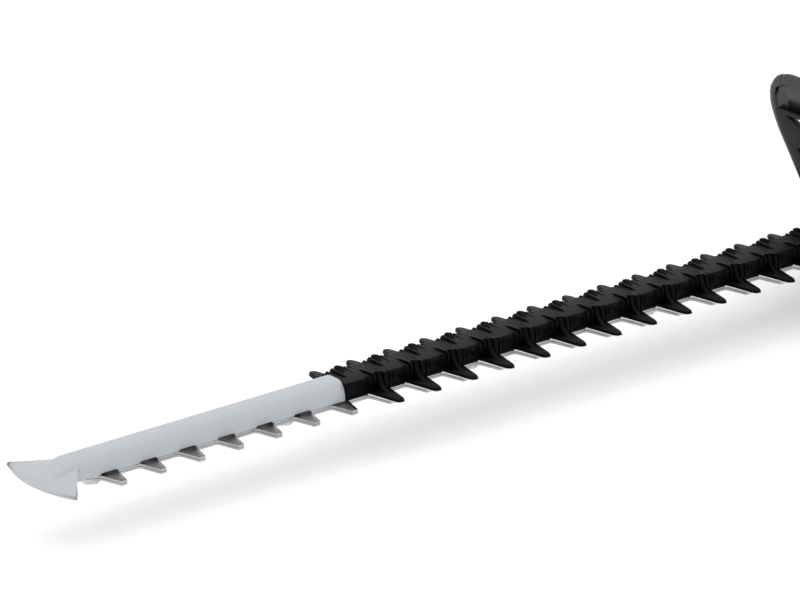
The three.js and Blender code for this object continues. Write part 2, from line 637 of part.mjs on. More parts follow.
// Assembly screws go in from the left: [x, z, half width of the housing there].
const screwPlaces = [
  [NOSE_FACE - 10, DECK - 12, BODY_HALF],
  [NOSE_FACE - 10, BODY_BOTTOM + 10, BODY_HALF],
  [CASE_REAR - 9, BODY_BOTTOM + 12, BODY_HALF],
  [HUMP_REAR + 12, HUMP_TOP - 13, BODY_HALF],
  [BODY_REAR + 14, DECK + 14, GRIP_HALF],
];
const SCREW_RADIUS = 2;
const SCREW_HEAD = 4.2;
const headDepth = 10;

const TRIGGER_LENGTH = 42;
const TRIGGER_HALF = 7;
const triggerPivot = [TRIGGER_X, gripLow + 11];
const buttonSpan = [HUMP_REAR - 24, HUMP_REAR - 2];
const BUTTON_HALF = 6;
const BUTTON_TRAVEL = 6;
const GRIP_RADIUS = TUBE_RADIUS + GAP + SLEEVE_GRIP;
const BAIL_X = HANDLE_X - GRIP_RADIUS - BAIL_TRAVEL - GAP - BAIL_THICK / 2;
const BAIL_PIVOT = 18;
const BAIL_PIN = 3;
const FOOT_Z = -2;
const GUARD_SCREWS = [-30, 30].map((y) => [y, DECK - 12]);
const CONTACT_PLACES = [-9, 0, 9];

// The whole housing as a solid block, smaller by shrink all round: the wide body and the narrow
// loop of the rear handle, which runs on into the body at both ends.
function housingBlock(shrink) {
  const round = (size) => Math.max(size - shrink, 1);
  const body = slab('y', inset(bodyProfile, shrink), [shrink - BODY_HALF, BODY_HALF - shrink],
    { round: round(BODY_ROUND) });
  const loop = outline(inset(loopProfile, shrink));
  loop.holes.push(outline(inset(fingerGap, -shrink)));
  return join(body, slab('y', loop, [shrink - GRIP_HALF, GRIP_HALF - shrink], { round: round(GRIP_ROUND) }));
}

function housing() {
  const shell = cut(housingBlock(0), housingBlock(WALL));
  const inside = housingBlock(1);
  const bosses = screwPlaces.map(([x, z, half]) =>
    rod('y', [x, z], SCREW_RADIUS + 4.4, [-half, half], 16).intersect(inside));
  const partition = box([HUMP_REAR - 4, HUMP_REAR - 1], [-BODY_HALF + 1, BODY_HALF - 1],
    [BODY_BOTTOM + 1, DECK - 1]);
  const whole = join(shell, partition, ...bosses);
  const barMouth = box([NOSE_FACE - 5, NOSE_FACE + 1], [-BAR_SLOT, BAR_SLOT],
    [TONGUE_LOW - BOLT_HEAD_THICK - 3, FINGER_LOW + RAIL_THICK + 2]);
  const bayMouth = box([BODY_REAR - 3, BODY_REAR + 14], [-PACK_HALF - 1, PACK_HALF + 1],
    [PACK_LOW - GAP, BAY_TOP + GAP]);
  const contacts = box([HUMP_REAR - 6, HUMP_REAR + 1], [-16, 16], [PACK_LOW + 16, PACK_LOW + 40]);
  const screwHoles = screwPlaces.flatMap(([x, z, half]) => [
    rod('y', [x, z], SCREW_RADIUS + GAP, [-half + 6, half], 12),
    rod('y', [x, z], SCREW_HEAD + GAP, [half - headDepth, half + 1], 14),
  ]);
  const vents = [-1, 1].flatMap((side) => Array.from({ length: 5 }, (_, i) => {
    const z = 48 + i * 7;
    const [y0, y1] = side > 0 ? [BODY_HALF - 5, BODY_HALF + 1] : [-BODY_HALF - 1, 5 - BODY_HALF];
    return box([MOTOR_X - 18, MOTOR_X + 18], [y0, y1], [z, z + 3]);
  }));
  const triggerSlot = box([TRIGGER_X - TRIGGER_LENGTH - 3, TRIGGER_X + 5],
    [-TRIGGER_HALF - 1, TRIGGER_HALF + 1], [gripLow - 14, gripLow + 12]);
  const buttonSlot = box([buttonSpan[0] - 1, buttonSpan[1] + BUTTON_TRAVEL + 1],
    [-BUTTON_HALF - GAP, BUTTON_HALF + GAP], [HUMP_TOP - 12, HUMP_TOP + 2]);
  const bailHole = rod('y', [BAIL_X, BAIL_PIVOT], BAIL_PIN + RUN, [-BODY_HALF - 1, BODY_HALF + 1], 12);
  const handleHole = rod('y', [HANDLE_X, FOOT_Z], BOLT_RADIUS + GAP, [-BODY_HALF - 1, BODY_HALF + 1], 12);
  const guardHoles = GUARD_SCREWS.map((place) =>
    rod('x', place, SCREW_RADIUS + GAP, [NOSE_FACE - 3.5, NOSE_FACE + 1], 12));
  return cut(whole, barMouth, bayMouth, contacts, ...screwHoles, ...vents, triggerSlot, buttonSlot,
    bailHole, handleHole, ...guardHoles);
}

const whole = housing();
const housingHalf = (side) => {
  const [y0, y1] = side > 0 ? [GAP / 2, BODY_HALF + 2] : [-BODY_HALF - 2, -GAP / 2];
  return whole.intersect(box([BODY_REAR - 20, NOSE_FACE + 5], [y0, y1], [BODY_BOTTOM - 5, HUMP_TOP + 5]));
};
part('left_housing', housingHalf(1), GREY);
part('right_housing', housingHalf(-1), GREY);

screwPlaces.forEach(([x, z, side], i) => {
  const seat = side - headDepth + GAP;
  const screw = join(
    rod('y', [x, z], SCREW_RADIUS, [-side + 8, seat + 1], 10),
    rod('y', [x, z], SCREW_HEAD, [seat, seat + 2.6], 12));
  part(`housing_screw_${i + 1}`, screw, STEEL);
});

// skid under the gear case and rubber feet under the battery bay
const soleTop = BODY_BOTTOM - GAP;
part('skid_plate', slab('z', rectangle(0, NOSE_FACE - 8, -32, 32, 8), [FLOOR, soleTop]), BLACK);
[['left', 1], ['right', -1]].forEach(([name, side]) => {
  const [y0, y1] = side > 0 ? [10, 34] : [-34, -10];
  part(`rear_foot_${name}`,
    slab('z', rectangle(BODY_REAR + 14, BODY_REAR + 46, y0, y1, 6), [FLOOR, soleTop]), RUBBER);
});

// ---------- guard and front handle ----------

const guardEdge = [
  [-34, -30, 5], [34, -30, 5], [44, -16, 8], [44, 4, 8], [60, 24, 6], [84, 54, 8],
  [GUARD_HALF, 68, 8], [GUARD_HALF, GUARD_TOP - 1, 17], [62, GUARD_TOP, 8],
  [-62, GUARD_TOP, 8], [-GUARD_HALF, GUARD_TOP - 1, 17], [-GUARD_HALF, 68, 8], [-84, 54, 8],
  [-60, 24, 6], [-44, 4, 8], [-44, -16, 8],
];

function handGuard() {
  const plate = slab('x', guardEdge, [GUARD_BACK, GUARD_FRONT]);
  const rim = cut(
    slab('x', guardEdge, [GUARD_BACK - GUARD_RIM, GUARD_FRONT]),
    slab('x', inset(guardEdge, GUARD_THICK), [GUARD_BACK - GUARD_RIM - 1, GUARD_BACK]),
    box([GUARD_BACK - GUARD_RIM - 1, GUARD_BACK], [-60, 60], [-60, DECK + 2]));
  const windows = [-1, 1].flatMap((side) => [[30, 46], [50, 66]].map(([low, high]) => {
    const inner = 52;
    const outer = low < 40 ? 62 : 76;
    const corners = [[side * 22, low + 8, 3], [side * inner, low + 8, 3], [side * outer, high, 3],
      [side * 22, high, 3]];
    return slab('x', corners, [GUARD_BACK - 1, GUARD_FRONT + 1]);
  }));
  const mouth = slab('x', rectangle(-BAR_SLOT, BAR_SLOT,
    TONGUE_LOW - BOLT_HEAD_THICK - 3, FINGER_LOW + RAIL_THICK + 2, 3), [GUARD_BACK - 1, GUARD_FRONT + 1]);
  const holes = GUARD_SCREWS.map((place) =>
    rod('x', place, SCREW_RADIUS + GAP, [GUARD_BACK - 1, GUARD_FRONT + 1], 12));
  return cut(join(plate, rim), ...windows, mouth, ...holes);
}

part('hand_guard', handGuard(), BLACK);
GUARD_SCREWS.forEach((place) => {
  part(`guard_screw_${place[0] > 0 ? 'left' : 'right'}`, join(
    rod('x', place, SCREW_RADIUS, [NOSE_FACE - 2.5, GUARD_FRONT + 1], 10),
    rod('x', place, SCREW_HEAD, [GUARD_FRONT + GAP, GUARD_FRONT + 2.6], 12)), STEEL);
});

const FOOT_Y = BODY_HALF + GAP;
const FOOT_THICK = 9;

// The front handle's centre line, from the left foot over the top to the right foot.
function handlePath() {
  const path = new THREE.CurvePath();
  const at = (y, z) => new THREE.Vector3(HANDLE_X, y, z);
  const foot = FOOT_Y + FOOT_THICK / 2 + 2;
  const turn = (a, b, c) => new THREE.QuadraticBezierCurve3(at(...a), at(...b), at(...c));
  const line = (a, b) => new THREE.LineCurve3(at(...a), at(...b));
  const bend = 20;
  const low = [foot, 4];
  const hip = [HANDLE_HALF, HANDLE_TOP - 30];
  const mirror = ([y, z]) => [-y, z];
  const rise = [HANDLE_HALF, HANDLE_TOP - bend];
  const top = [HANDLE_HALF - bend, HANDLE_TOP];
  path.add(line(low, hip));
  path.add(turn(hip, [HANDLE_HALF + 1, HANDLE_TOP - 24], rise));
  path.add(turn(rise, [HANDLE_HALF, HANDLE_TOP], top));
  path.add(line(top, mirror(top)));
  path.add(turn(mirror(top), [-HANDLE_HALF, HANDLE_TOP], mirror(rise)));
  path.add(turn(mirror(rise), [-HANDLE_HALF - 1, HANDLE_TOP - 24], mirror(hip)));
  path.add(line(mirror(hip), mirror(low)));
  return path;
}

function circle(radius, sides) {
  const shape = new THREE.Shape();
  for (let i = 0; i < sides; i += 1) {
    const angle = i * 2 * Math.PI / sides;
    const [x, y] = [radius * Math.cos(angle), radius * Math.sin(angle)];
    if (i === 0) shape.moveTo(x, y);
    else shape.lineTo(x, y);
  }
  shape.closePath();
  return shape;
}

function frontHandle() {
  const tube = solid(new THREE.ExtrudeGeometry(circle(TUBE_RADIUS, 12), {
    steps: 30, bevelEnabled: false, extrudePath: handlePath(),
  }));
  const feet = [-1, 1].map((side) => {
    const [y0, y1] = side > 0 ? [FOOT_Y, FOOT_Y + FOOT_THICK] : [-FOOT_Y - FOOT_THICK, -FOOT_Y];
    const corners = rectangle(HANDLE_X - TUBE_RADIUS, HANDLE_X + TUBE_RADIUS, FOOT_Z - 15, 18, 6);
    return slab('y', corners, [y0, y1]);
  });
  const clear = box([0, 100], [-FOOT_Y, FOOT_Y], [-60, DECK + 1]);
  const holes = rod('y', [HANDLE_X, FOOT_Z], BOLT_RADIUS + GAP, THROUGH, 12);
  const recess = [-1, 1].map((side) => {
    const [y0, y1] = side > 0 ? [FOOT_Y + FOOT_THICK - 3, 80] : [-80, -FOOT_Y - FOOT_THICK + 3];
    return rod('y', [HANDLE_X, FOOT_Z - 2], 7.5, [y0, y1], 14);
  });
  return cut(join(tube, ...feet), clear, holes, ...recess);
}

const GRIP_SPAN = HANDLE_HALF - 24;

function switchBail() {
  const outerHalf = BODY_HALF + 12;
  const arm = 6;
  const top = HANDLE_TOP - 5;
  const span = [BAIL_X - BAIL_THICK / 2, BAIL_X + BAIL_THICK / 2];
  const loop = cut(
    slab('x', [[-outerHalf, BAIL_PIVOT - 6, 3], [outerHalf, BAIL_PIVOT - 6, 3],
      [outerHalf, top, 10], [-outerHalf, top, 10]], span),
    slab('x', [[arm - outerHalf, BAIL_PIVOT - 20], [outerHalf - arm, BAIL_PIVOT - 20],
      [outerHalf - arm, top - 8, 8], [arm - outerHalf, top - 8, 8]], [span[0] - 1, span[1] + 1]));
  const pins = [-1, 1].map((side) => {
    const [y0, y1] = side > 0 ? [BODY_HALF - 2.5, outerHalf - 1] : [1 - outerHalf, 2.5 - BODY_HALF];
    return rod('y', [BAIL_X, BAIL_PIVOT], BAIL_PIN, [y0, y1], 12);
  });
  return join(loop, ...pins);
}

part('front_handle', frontHandle(), BLACK);
part('front_grip', ring('y', [HANDLE_X, HANDLE_TOP], [TUBE_RADIUS + GAP, GRIP_RADIUS],
  [-GRIP_SPAN, GRIP_SPAN], 18), RUBBER);
part('switch_bail', switchBail(), GREY);
[['left', 1], ['right', -1]].forEach(([name, side]) => {
  const along = (a, b) => (side > 0 ? [a, b] : [-b, -a]);
  const seat = FOOT_Y + FOOT_THICK - 3 + GAP;
  part(`handle_bolt_${name}`, join(
    rod('y', [HANDLE_X, FOOT_Z], BOLT_RADIUS, along(CASE_HALF + 2, seat + 1), 12),
    rod('y', [HANDLE_X, FOOT_Z], BOLT_HEAD - 1, along(seat, seat + 3.5), 6)), STEEL);
});

// ---------- rear handle ----------

function trigger() {
  const [x, z] = triggerPivot;
  const low = gripLow;
  const lever = slab('y', [
    [x + 4, z + 4, 3], [x + 4, low + 2, 3], [x - 6, low - 6, 4], [x - TRIGGER_LENGTH + 8, low - 11, 5],
    [x - TRIGGER_LENGTH, low - 8, 3], [x - TRIGGER_LENGTH + 2, low + 5, 3], [x - 8, z + 2, 4],
  ], [-TRIGGER_HALF, TRIGGER_HALF]);
  return cut(lever, rod('y', [x, z], SCREW_RADIUS + RUN, THROUGH, 12));
}

function lockButton() {
  const stem = box(buttonSpan, [-BUTTON_HALF, BUTTON_HALF], [HUMP_TOP - 8, HUMP_TOP + 2.6]);
  const ridges = Array.from({ length: 4 }, (_, i) => {
    const x = buttonSpan[0] + 4 + i * 4.6;
    return box([x, x + 1.6], [-BUTTON_HALF - 1, BUTTON_HALF + 1], [HUMP_TOP + 1.6, HUMP_TOP + 4]);
  });
  return cut(stem, ...ridges);
}

part('trigger', trigger(), BLACK);
part('trigger_pin', rod('y', triggerPivot, SCREW_RADIUS,
  [-GRIP_HALF + WALL + GAP, GRIP_HALF - WALL - GAP], 12), STEEL);
part('lock_button', lockButton(), BLACK);
[['left', 1], ['right', -1]].forEach(([name, side]) => {
  const along = side > 0 ? [GRIP_HALF + GAP, GRIP_HALF + 2.3] : [-GRIP_HALF - 2.3, -GRIP_HALF - GAP];
  const corners = [
    [TRIGGER_X - 12, HUMP_TOP - 5, 4], [GRIP_MIDDLE, HUMP_TOP - 8, 12],
    [BODY_REAR + 12, GRIP_TOP_REAR - 3, 8],
    [POST_FRONT + 6, gripLine(POST_FRONT) + 3, 4], [GRIP_MIDDLE, gripLow + 4, 10],
    [GRIP_MIDDLE + 7, gripLow + 10, 4], [TRIGGER_X - 12, gripLow + 16, 5],
  ];
  part(`rear_grip_${name}`, slab('y', corners, along), RUBBER);
});

// ---------- battery and electronics ----------

function batteryCase() {
  const body = slab('x', rectangle(-PACK_HALF, PACK_HALF, PACK_LOW, BAY_TOP, 4),
    [BODY_REAR - 1, PACK_FRONT]);
  const cap = slab('x', rectangle(-BODY_HALF, BODY_HALF, BODY_BOTTOM, DECK - 2, 8),
    [BODY_REAR - PACK_CAP, BODY_REAR - 2.5]);
  const neck = slab('x', rectangle(-PACK_HALF, PACK_HALF, PACK_LOW, BAY_TOP, 4),
    [BODY_REAR - 4, BODY_REAR]);
  const cavity = box([BODY_REAR + 4, PACK_FRONT + 1], [-PACK_HALF + 2.5, PACK_HALF - 2.5],
    [PACK_LOW + 2.5, BAY_TOP - 2.5]);
  const recess = box([BODY_REAR - PACK_CAP - 1, BODY_REAR - PACK_CAP + 8], [-19, 19],
    [DECK - 18, DECK - 8]);
  return cut(join(body, cap, neck), cavity, recess);
}

function cellPack() {
  const middle = (PACK_LOW + BAY_TOP) / 2;
  const first = BODY_REAR + CELL_INSET;
  const cells = [];
  for (let i = 0; i < CELL_COLUMNS; i += 1) {
    for (const row of [-0.5, 0.5]) {
      const place = [first + i * CELL_PITCH, middle + row * CELL_PITCH];
      cells.push(rod('y', place, CELL_RADIUS, [4.5 - PACK_HALF, PACK_HALF - 4.5], 8));
    }
  }
  const holder = box([first - 3, first + (CELL_COLUMNS - 1) * CELL_PITCH + 3], [-6, 6],
    [middle - CELL_PITCH / 2 - 3, middle + CELL_PITCH / 2 + 3]);
  return join(holder, ...cells);
}

part('battery_case', batteryCase(), BLACK);
part('cell_pack', cellPack(), ALLOY);
part('battery_contacts', cut(
  box([PACK_FRONT - 7, PACK_FRONT - 1], [-PACK_HALF + 3, PACK_HALF - 3], [PACK_LOW + 3, BAY_TOP - 3]),
  ...CONTACT_PLACES.map((y) => box([PACK_FRONT - 4, PACK_FRONT], [y - 1.2, y + 1.2],
    [PACK_LOW + 18, PACK_LOW + 38]))), BLACK);
part('release_button', box([BODY_REAR - PACK_CAP - 2, BODY_REAR - PACK_CAP + 4], [-18.5, 18.5],
  [DECK - 17.5, DECK - 8.5]), GREY);

function terminalBlock() {
  const block = box([HUMP_REAR - 3.5, HUMP_REAR + 6], [-15.5, 15.5], [PACK_LOW + 16.5, PACK_LOW + 39.5]);
  const blades = CONTACT_PLACES.map((y) =>
    box([PACK_FRONT - 3.5, HUMP_REAR - 3], [y - 0.7, y + 0.7], [PACK_LOW + 20, PACK_LOW + 36]));
  return join(block, ...blades);
}

function controlBoard() {
  const board = box([HUMP_REAR + 8, HUMP_REAR + 10], [-30, 30], [BODY_BOTTOM + 24, DECK + 20]);
  const parts = [[-18, 12], [0, 26], [16, 8], [-6, 44]].map(([y, z], i) =>
    box([HUMP_REAR + 9, HUMP_REAR + 14 + i], [y - 6, y + 6], [z - 8, z - 8 + 12]));
  return join(board, ...parts);
}

part('terminal_block', terminalBlock(), BLACK);
part('control_board', controlBoard(), BOARD);

// ---------- frame ----------

const extent = new THREE.Box3().setFromObject(model);
const trimmer = new THREE.Group();
model.position.set(-(extent.min.x + extent.max.x) / 2, -(extent.min.y + extent.max.y) / 2, -extent.min.z);
trimmer.add(model);

export default trimmer;
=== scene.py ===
"""A cordless hedge trimmer on a pale studio floor: moulded comb and tip guard over a two-sided
steel cutter bar, hand guard, loop handle, rear trigger handle and slide-in battery."""

import math

import bmesh
import bpy
from mathutils import Matrix, Vector


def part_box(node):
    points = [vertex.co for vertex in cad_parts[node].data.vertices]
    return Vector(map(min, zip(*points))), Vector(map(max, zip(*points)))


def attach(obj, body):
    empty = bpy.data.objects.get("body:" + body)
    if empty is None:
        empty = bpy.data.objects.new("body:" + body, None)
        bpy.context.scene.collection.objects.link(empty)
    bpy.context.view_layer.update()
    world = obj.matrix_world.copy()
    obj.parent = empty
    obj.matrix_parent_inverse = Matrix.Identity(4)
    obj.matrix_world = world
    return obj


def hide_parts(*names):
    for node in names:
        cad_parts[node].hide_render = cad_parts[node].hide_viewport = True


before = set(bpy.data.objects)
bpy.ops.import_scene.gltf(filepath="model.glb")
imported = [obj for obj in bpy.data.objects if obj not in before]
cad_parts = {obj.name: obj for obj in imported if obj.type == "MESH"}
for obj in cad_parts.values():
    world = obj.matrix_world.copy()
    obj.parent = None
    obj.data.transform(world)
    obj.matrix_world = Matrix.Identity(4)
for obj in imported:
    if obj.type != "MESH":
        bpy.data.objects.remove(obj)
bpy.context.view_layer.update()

MM = 0.001
scene = bpy.context.scene
scene.view_settings.view_transform = "Standard"

# ---------- places taken from the frame ----------

comb_low, comb_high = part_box("comb_guard")
tip_low, tip_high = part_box("tip_guard")
_, guard_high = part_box("hand_guard")
handle_low, handle_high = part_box("front_handle")
grip_low, grip_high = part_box("front_grip")
shell_low, shell_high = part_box("left_housing")

PITCH = 30 * MM                          # finger to finger on one side
FINGERS = 15                             # on the far side; the near side has one fewer
FAR_ROOT = comb_low.x + 11 * MM          # middle of the first far finger
NEAR_ROOT = FAR_ROOT + PITCH / 2
FINGER_LOW = comb_low.z
FINGER_THICK = 2.4 * MM
BASE = FINGER_LOW + FINGER_THICK / 2     # middle plane of the fingers


# ---------- camera ----------

CAMERA_AROUND = math.radians(38.998)     # turned from the side view towards the tip
CAMERA_ABOVE = math.radians(21.319)
CAMERA_DISTANCE = 4.12935                # from the point it is turned about, in metres
CAMERA_FINGERS = 13.5                    # that point's place, in fingers from the first far one
CAMERA_RIGHT, CAMERA_UP = 0.021606, 0.052957         # then shifted sideways and up, in metres
LENS, SENSOR = 294.54, 36                # millimetres
FAR_CLIP = 50


def add_camera():
    """A long lens, from the tip's side and above."""
    right = Vector((-math.cos(CAMERA_AROUND), math.sin(CAMERA_AROUND), 0))
    back = Vector((math.sin(CAMERA_AROUND) * math.cos(CAMERA_ABOVE),
                   math.cos(CAMERA_AROUND) * math.cos(CAMERA_ABOVE), math.sin(CAMERA_ABOVE)))
    up = back.cross(right)
    focus = Vector((FAR_ROOT + CAMERA_FINGERS * PITCH, 0, BASE))
    place = focus + back * CAMERA_DISTANCE + right * CAMERA_RIGHT + up * CAMERA_UP
    camera = bpy.data.cameras.new("camera")
    camera.lens = LENS
    camera.sensor_width = SENSOR
    camera.clip_end = FAR_CLIP
    holder = bpy.data.objects.new("camera", camera)
    turn = Matrix((right, up, back)).transposed().to_4x4()
    holder.matrix_world = Matrix.Translation(place) @ turn
    scene.collection.objects.link(holder)
    scene.camera = holder


add_camera()


# ---------- material effects ----------

def new_group(name, inputs, outputs):
    tree = bpy.data.node_groups.new(name, "ShaderNodeTree")
    for label, value in inputs:
        socket = tree.interface.new_socket(label, in_out="INPUT", socket_type="NodeSocketFloat")
        socket.default_value = value
    for label in outputs:
        tree.interface.new_socket(label, in_out="OUTPUT", socket_type="NodeSocketFloat")
    return tree, tree.nodes.new("NodeGroupInput"), tree.nodes.new("NodeGroupOutput")


def add_node(tree, kind, settings=(), values=()):
    node = tree.nodes.new(kind)
    for label, value in dict(settings).items():
        setattr(node, label, value)
    for label, value in dict(values).items():
        node.inputs[label].default_value = value
    return node


def object_noise(tree, scale, detail=3, stretch=None, roughness=0.5):
    """Noise over the piece's own coordinates; scale is a number or another node's output."""
    place = add_node(tree, "ShaderNodeTexCoord").outputs["Object"]
    if stretch:
        mapping = add_node(tree, "ShaderNodeMapping", values={"Scale": stretch})
        tree.links.new(place, mapping.inputs["Vector"])
        place = mapping.outputs["Vector"]
    noise = add_node(tree, "ShaderNodeTexNoise",
                     values={"Detail": detail, "Roughness": roughness})
    tree.links.new(place, noise.inputs["Vector"])
    if isinstance(scale, (int, float)):
        noise.inputs["Scale"].default_value = scale
    else:
        tree.links.new(scale, noise.inputs["Scale"])
    return noise.outputs["Fac"]


def ramp(tree, source, low, high, to_low=0.0, to_high=1.0):
    node = add_node(tree, "ShaderNodeMapRange", {"interpolation_type": "SMOOTHSTEP"},
                    {"From Min": low, "From Max": high, "To Min": to_low, "To Max": to_high})
    tree.links.new(source, node.inputs["Value"])
    return node.outputs["Result"]


def make_grain():
    """Fine spark-eroded grain of moulded plastic, with a little slow waviness from cooling."""
    tree, into, out = new_group("moulded_grain", [("Scale", 1500), ("Sink", 0.35)],
                                ["Height", "Mask"])
    fine = object_noise(tree, into.outputs["Scale"], detail=2)
    slow = object_noise(tree, 45, detail=1)
    weigh = add_node(tree, "ShaderNodeMath", {"operation": "MULTIPLY_ADD"})
    tree.links.new(slow, weigh.inputs[0])
    tree.links.new(into.outputs["Sink"], weigh.inputs[1])
    tree.links.new(fine, weigh.inputs[2])
    tree.links.new(weigh.outputs[0], out.inputs["Height"])
    tree.links.new(ramp(tree, fine, 0.35, 0.65), out.inputs["Mask"])
    return tree


def make_dust():
    """Faint handling marks and dust, in soft patches broken up by a fine speckle."""
    tree, into, out = new_group("handling_dust", [("Scale", 30), ("Amount", 0.5)], ["Mask"])
    clouds = object_noise(tree, into.outputs["Scale"], detail=6, roughness=0.65)
    patches = ramp(tree, clouds, 0.5, 0.75)
    specks = ramp(tree, object_noise(tree, 900, detail=2), 0.45, 0.7)
    both = add_node(tree, "ShaderNodeMath", {"operation": "MULTIPLY"})
    weigh = add_node(tree, "ShaderNodeMath", {"operation": "MULTIPLY", "use_clamp": True})
    tree.links.new(patches, both.inputs[0])
    tree.links.new(specks, both.inputs[1])
    tree.links.new(both.outputs[0], weigh.inputs[0])
    tree.links.new(into.outputs["Amount"], weigh.inputs[1])
    tree.links.new(weigh.outputs[0], out.inputs["Mask"])
    return tree


def make_brushing():
    """Grinding lines along the bar, fine across and long along it."""
    tree, into, out = new_group("grinding_lines", [("Scale", 1)], ["Height", "Mask"])
    lines = object_noise(tree, into.outputs["Scale"], detail=3, stretch=(60, 2600, 2600))
    cloud = object_noise(tree, 60, detail=4)
    mix = add_node(tree, "ShaderNodeMath", {"operation": "MULTIPLY_ADD"}, {1: 0.4})
    tree.links.new(cloud, mix.inputs[0])
    tree.links.new(lines, mix.inputs[2])
    tree.links.new(lines, out.inputs["Height"])
    tree.links.new(ramp(tree, mix.outputs[0], 0.5, 0.9), out.inputs["Mask"])
    return tree


GRAIN = make_grain()
DUST = make_dust()
BRUSHING = make_brushing()


def place_group(tree, group, values):
    node = tree.nodes.new("ShaderNodeGroup")
    node.node_tree = group
    for label, value in values.items():
        node.inputs[label].default_value = value
    return node


def mix_colours(tree, mask, low, high):
    node = add_node(tree, "ShaderNodeMix", {"data_type": "RGBA"})
    tree.links.new(mask, node.inputs["Factor"])
    node.inputs[6].default_value = (*low, 1)
    node.inputs[7].default_value = (*high, 1)
    return node.outputs[2]


def shader(name, settings):
    material = bpy.data.materials.new(name)
    material.use_nodes = True
    tree = material.node_tree
    surface = tree.nodes["Principled BSDF"]
    for label, value in settings.items():
        surface.inputs[label].default_value = value
    return material, tree, surface


def bump(tree, surface, height, distance, strength=1.0):
    node = add_node(tree, "ShaderNodeBump", values={"Distance": distance, "Strength": strength})
    tree.links.new(height, node.inputs["Height"])
    tree.links.new(node.outputs["Normal"], surface.inputs["Normal"])


def plastic(name, colour, dusty, roughness, specular, grain=1500, depth=0.03, amount=0.5):
    """Moulded plastic: grain in the surface, uneven shine and a little dust; depth is in mm."""
    material, tree, surface = shader(name, {"Specular IOR Level": specular})
    texture = place_group(tree, GRAIN, {"Scale": grain})
    dust = place_group(tree, DUST, {"Scale": 30, "Amount": amount})
    tone = mix_colours(tree, dust.outputs["Mask"], colour, dusty)
    tree.links.new(tone, surface.inputs["Base Color"])
    shine = ramp(tree, texture.outputs["Mask"], 0, 1, roughness - 0.05, roughness + 0.06)
    tree.links.new(shine, surface.inputs["Roughness"])
    bump(tree, surface, texture.outputs["Height"], depth * MM)
    return material


def steel(name, colour, bright, roughness, scale=1.0, depth=0.01):
    """Ground or machined steel, with lines along it and slightly uneven shine; depth is in mm."""
    material, tree, surface = shader(name, {"Metallic": 1.0})
    lines = place_group(tree, BRUSHING, {"Scale": scale})
    tone = mix_colours(tree, lines.outputs["Mask"], colour, bright)
    tree.links.new(tone, surface.inputs["Base Color"])
    shine = ramp(tree, lines.outputs["Mask"], 0, 1, roughness + 0.07, roughness - 0.04)
    tree.links.new(shine, surface.inputs["Roughness"])
    bump(tree, surface, lines.outputs["Height"], depth * MM)
    return material


BLACK = plastic("black_plastic", (0.001, 0.001, 0.0011), (0.007, 0.007, 0.0068), 0.4, 0.05,
                depth=0.02)
SHELL_BLACK = plastic("black_shell", (0.004, 0.004, 0.0043), (0.02, 0.02, 0.019), 0.42, 0.2,
                      grain=1100)
GREY = plastic("grey_plastic", (0.385, 0.408, 0.43), (0.345, 0.36, 0.375), 0.4, 0.45,
               depth=0.015, amount=0.35)
RUBBER = plastic("soft_rubber", (0.013, 0.013, 0.0135), (0.05, 0.05, 0.048), 0.82, 0.25,
                 grain=700, depth=0.08)
BLADE = steel("blade_steel", (0.34, 0.345, 0.35), (0.48, 0.485, 0.49), 0.36)
# Painted shade: the guide bar is coloured near black so the inside of the sleeve's notches reads
# dark.
PAINTED_SHADE_BAR = steel("bar_painted_shade", (0.02, 0.02, 0.021), (0.04, 0.04, 0.04), 0.5)
GROUND = steel("ground_edge", (0.66, 0.67, 0.68), (0.82, 0.83, 0.84), 0.2, scale=1.6)
ZINC = steel("zinc_steel", (0.42, 0.43, 0.44), (0.6, 0.6, 0.6), 0.3, scale=0.5)
GEARS = steel("gear_steel", (0.28, 0.28, 0.29), (0.4, 0.4, 0.41), 0.34, scale=0.7)
ALLOY = plastic("cast_alloy", (0.42, 0.43, 0.44), (0.3, 0.3, 0.3), 0.5, 0.5, grain=500, depth=0.1)
ALLOY.node_tree.nodes["Principled BSDF"].inputs["Metallic"].default_value = 1.0
GUARD_BLACK = plastic("guard_black", (0.007, 0.007, 0.0074), (0.018, 0.018, 0.0175), 0.33, 0.55,
                      grain=1300, depth=0.01)


def make_winding():
    """Enamelled copper wire between dark laminations."""
    material, tree, surface = shader("copper_winding", {"Metallic": 0.9, "Roughness": 0.3})
    place = add_node(tree, "ShaderNodeTexCoord")
    wires = add_node(tree, "ShaderNodeTexWave", {"bands_direction": "Z"},
                     {"Scale": 550, "Distortion": 1.5, "Detail": 2})
    tree.links.new(place.outputs["Object"], wires.inputs["Vector"])
    tree.links.new(mix_colours(tree, wires.outputs["Fac"], (0.16, 0.05, 0.02), (0.6, 0.26, 0.11)),
                   surface.inputs["Base Color"])
    bump(tree, surface, wires.outputs["Fac"], 0.2 * MM)
    return material


def make_board():
    """Lacquered green board with copper traces showing through."""
    material, tree, surface = shader("circuit_board", {"Roughness": 0.35})
    place = add_node(tree, "ShaderNodeTexCoord")
    traces = add_node(tree, "ShaderNodeTexBrick", {}, {"Scale": 160, "Mortar Size": 0.03})
    tree.links.new(place.outputs["Object"], traces.inputs["Vector"])
    tree.links.new(mix_colours(tree, traces.outputs["Fac"], (0.012, 0.1, 0.03), (0.05, 0.22, 0.07)),
                   surface.inputs["Base Color"])
    bump(tree, surface, traces.outputs["Fac"], 0.05 * MM)
    return material


WINDING = make_winding()
BOARD = make_board()


# ---------- mesh helpers ----------

# An outline's two coordinates and its depth, as a point: across(a, b, depth).
def along_x(a, b, depth):
    return Vector((depth, a, b))


def along_y(a, b, depth):
    return Vector((a, depth, b))


def along_z(a, b, depth):
    return Vector((a, b, depth))


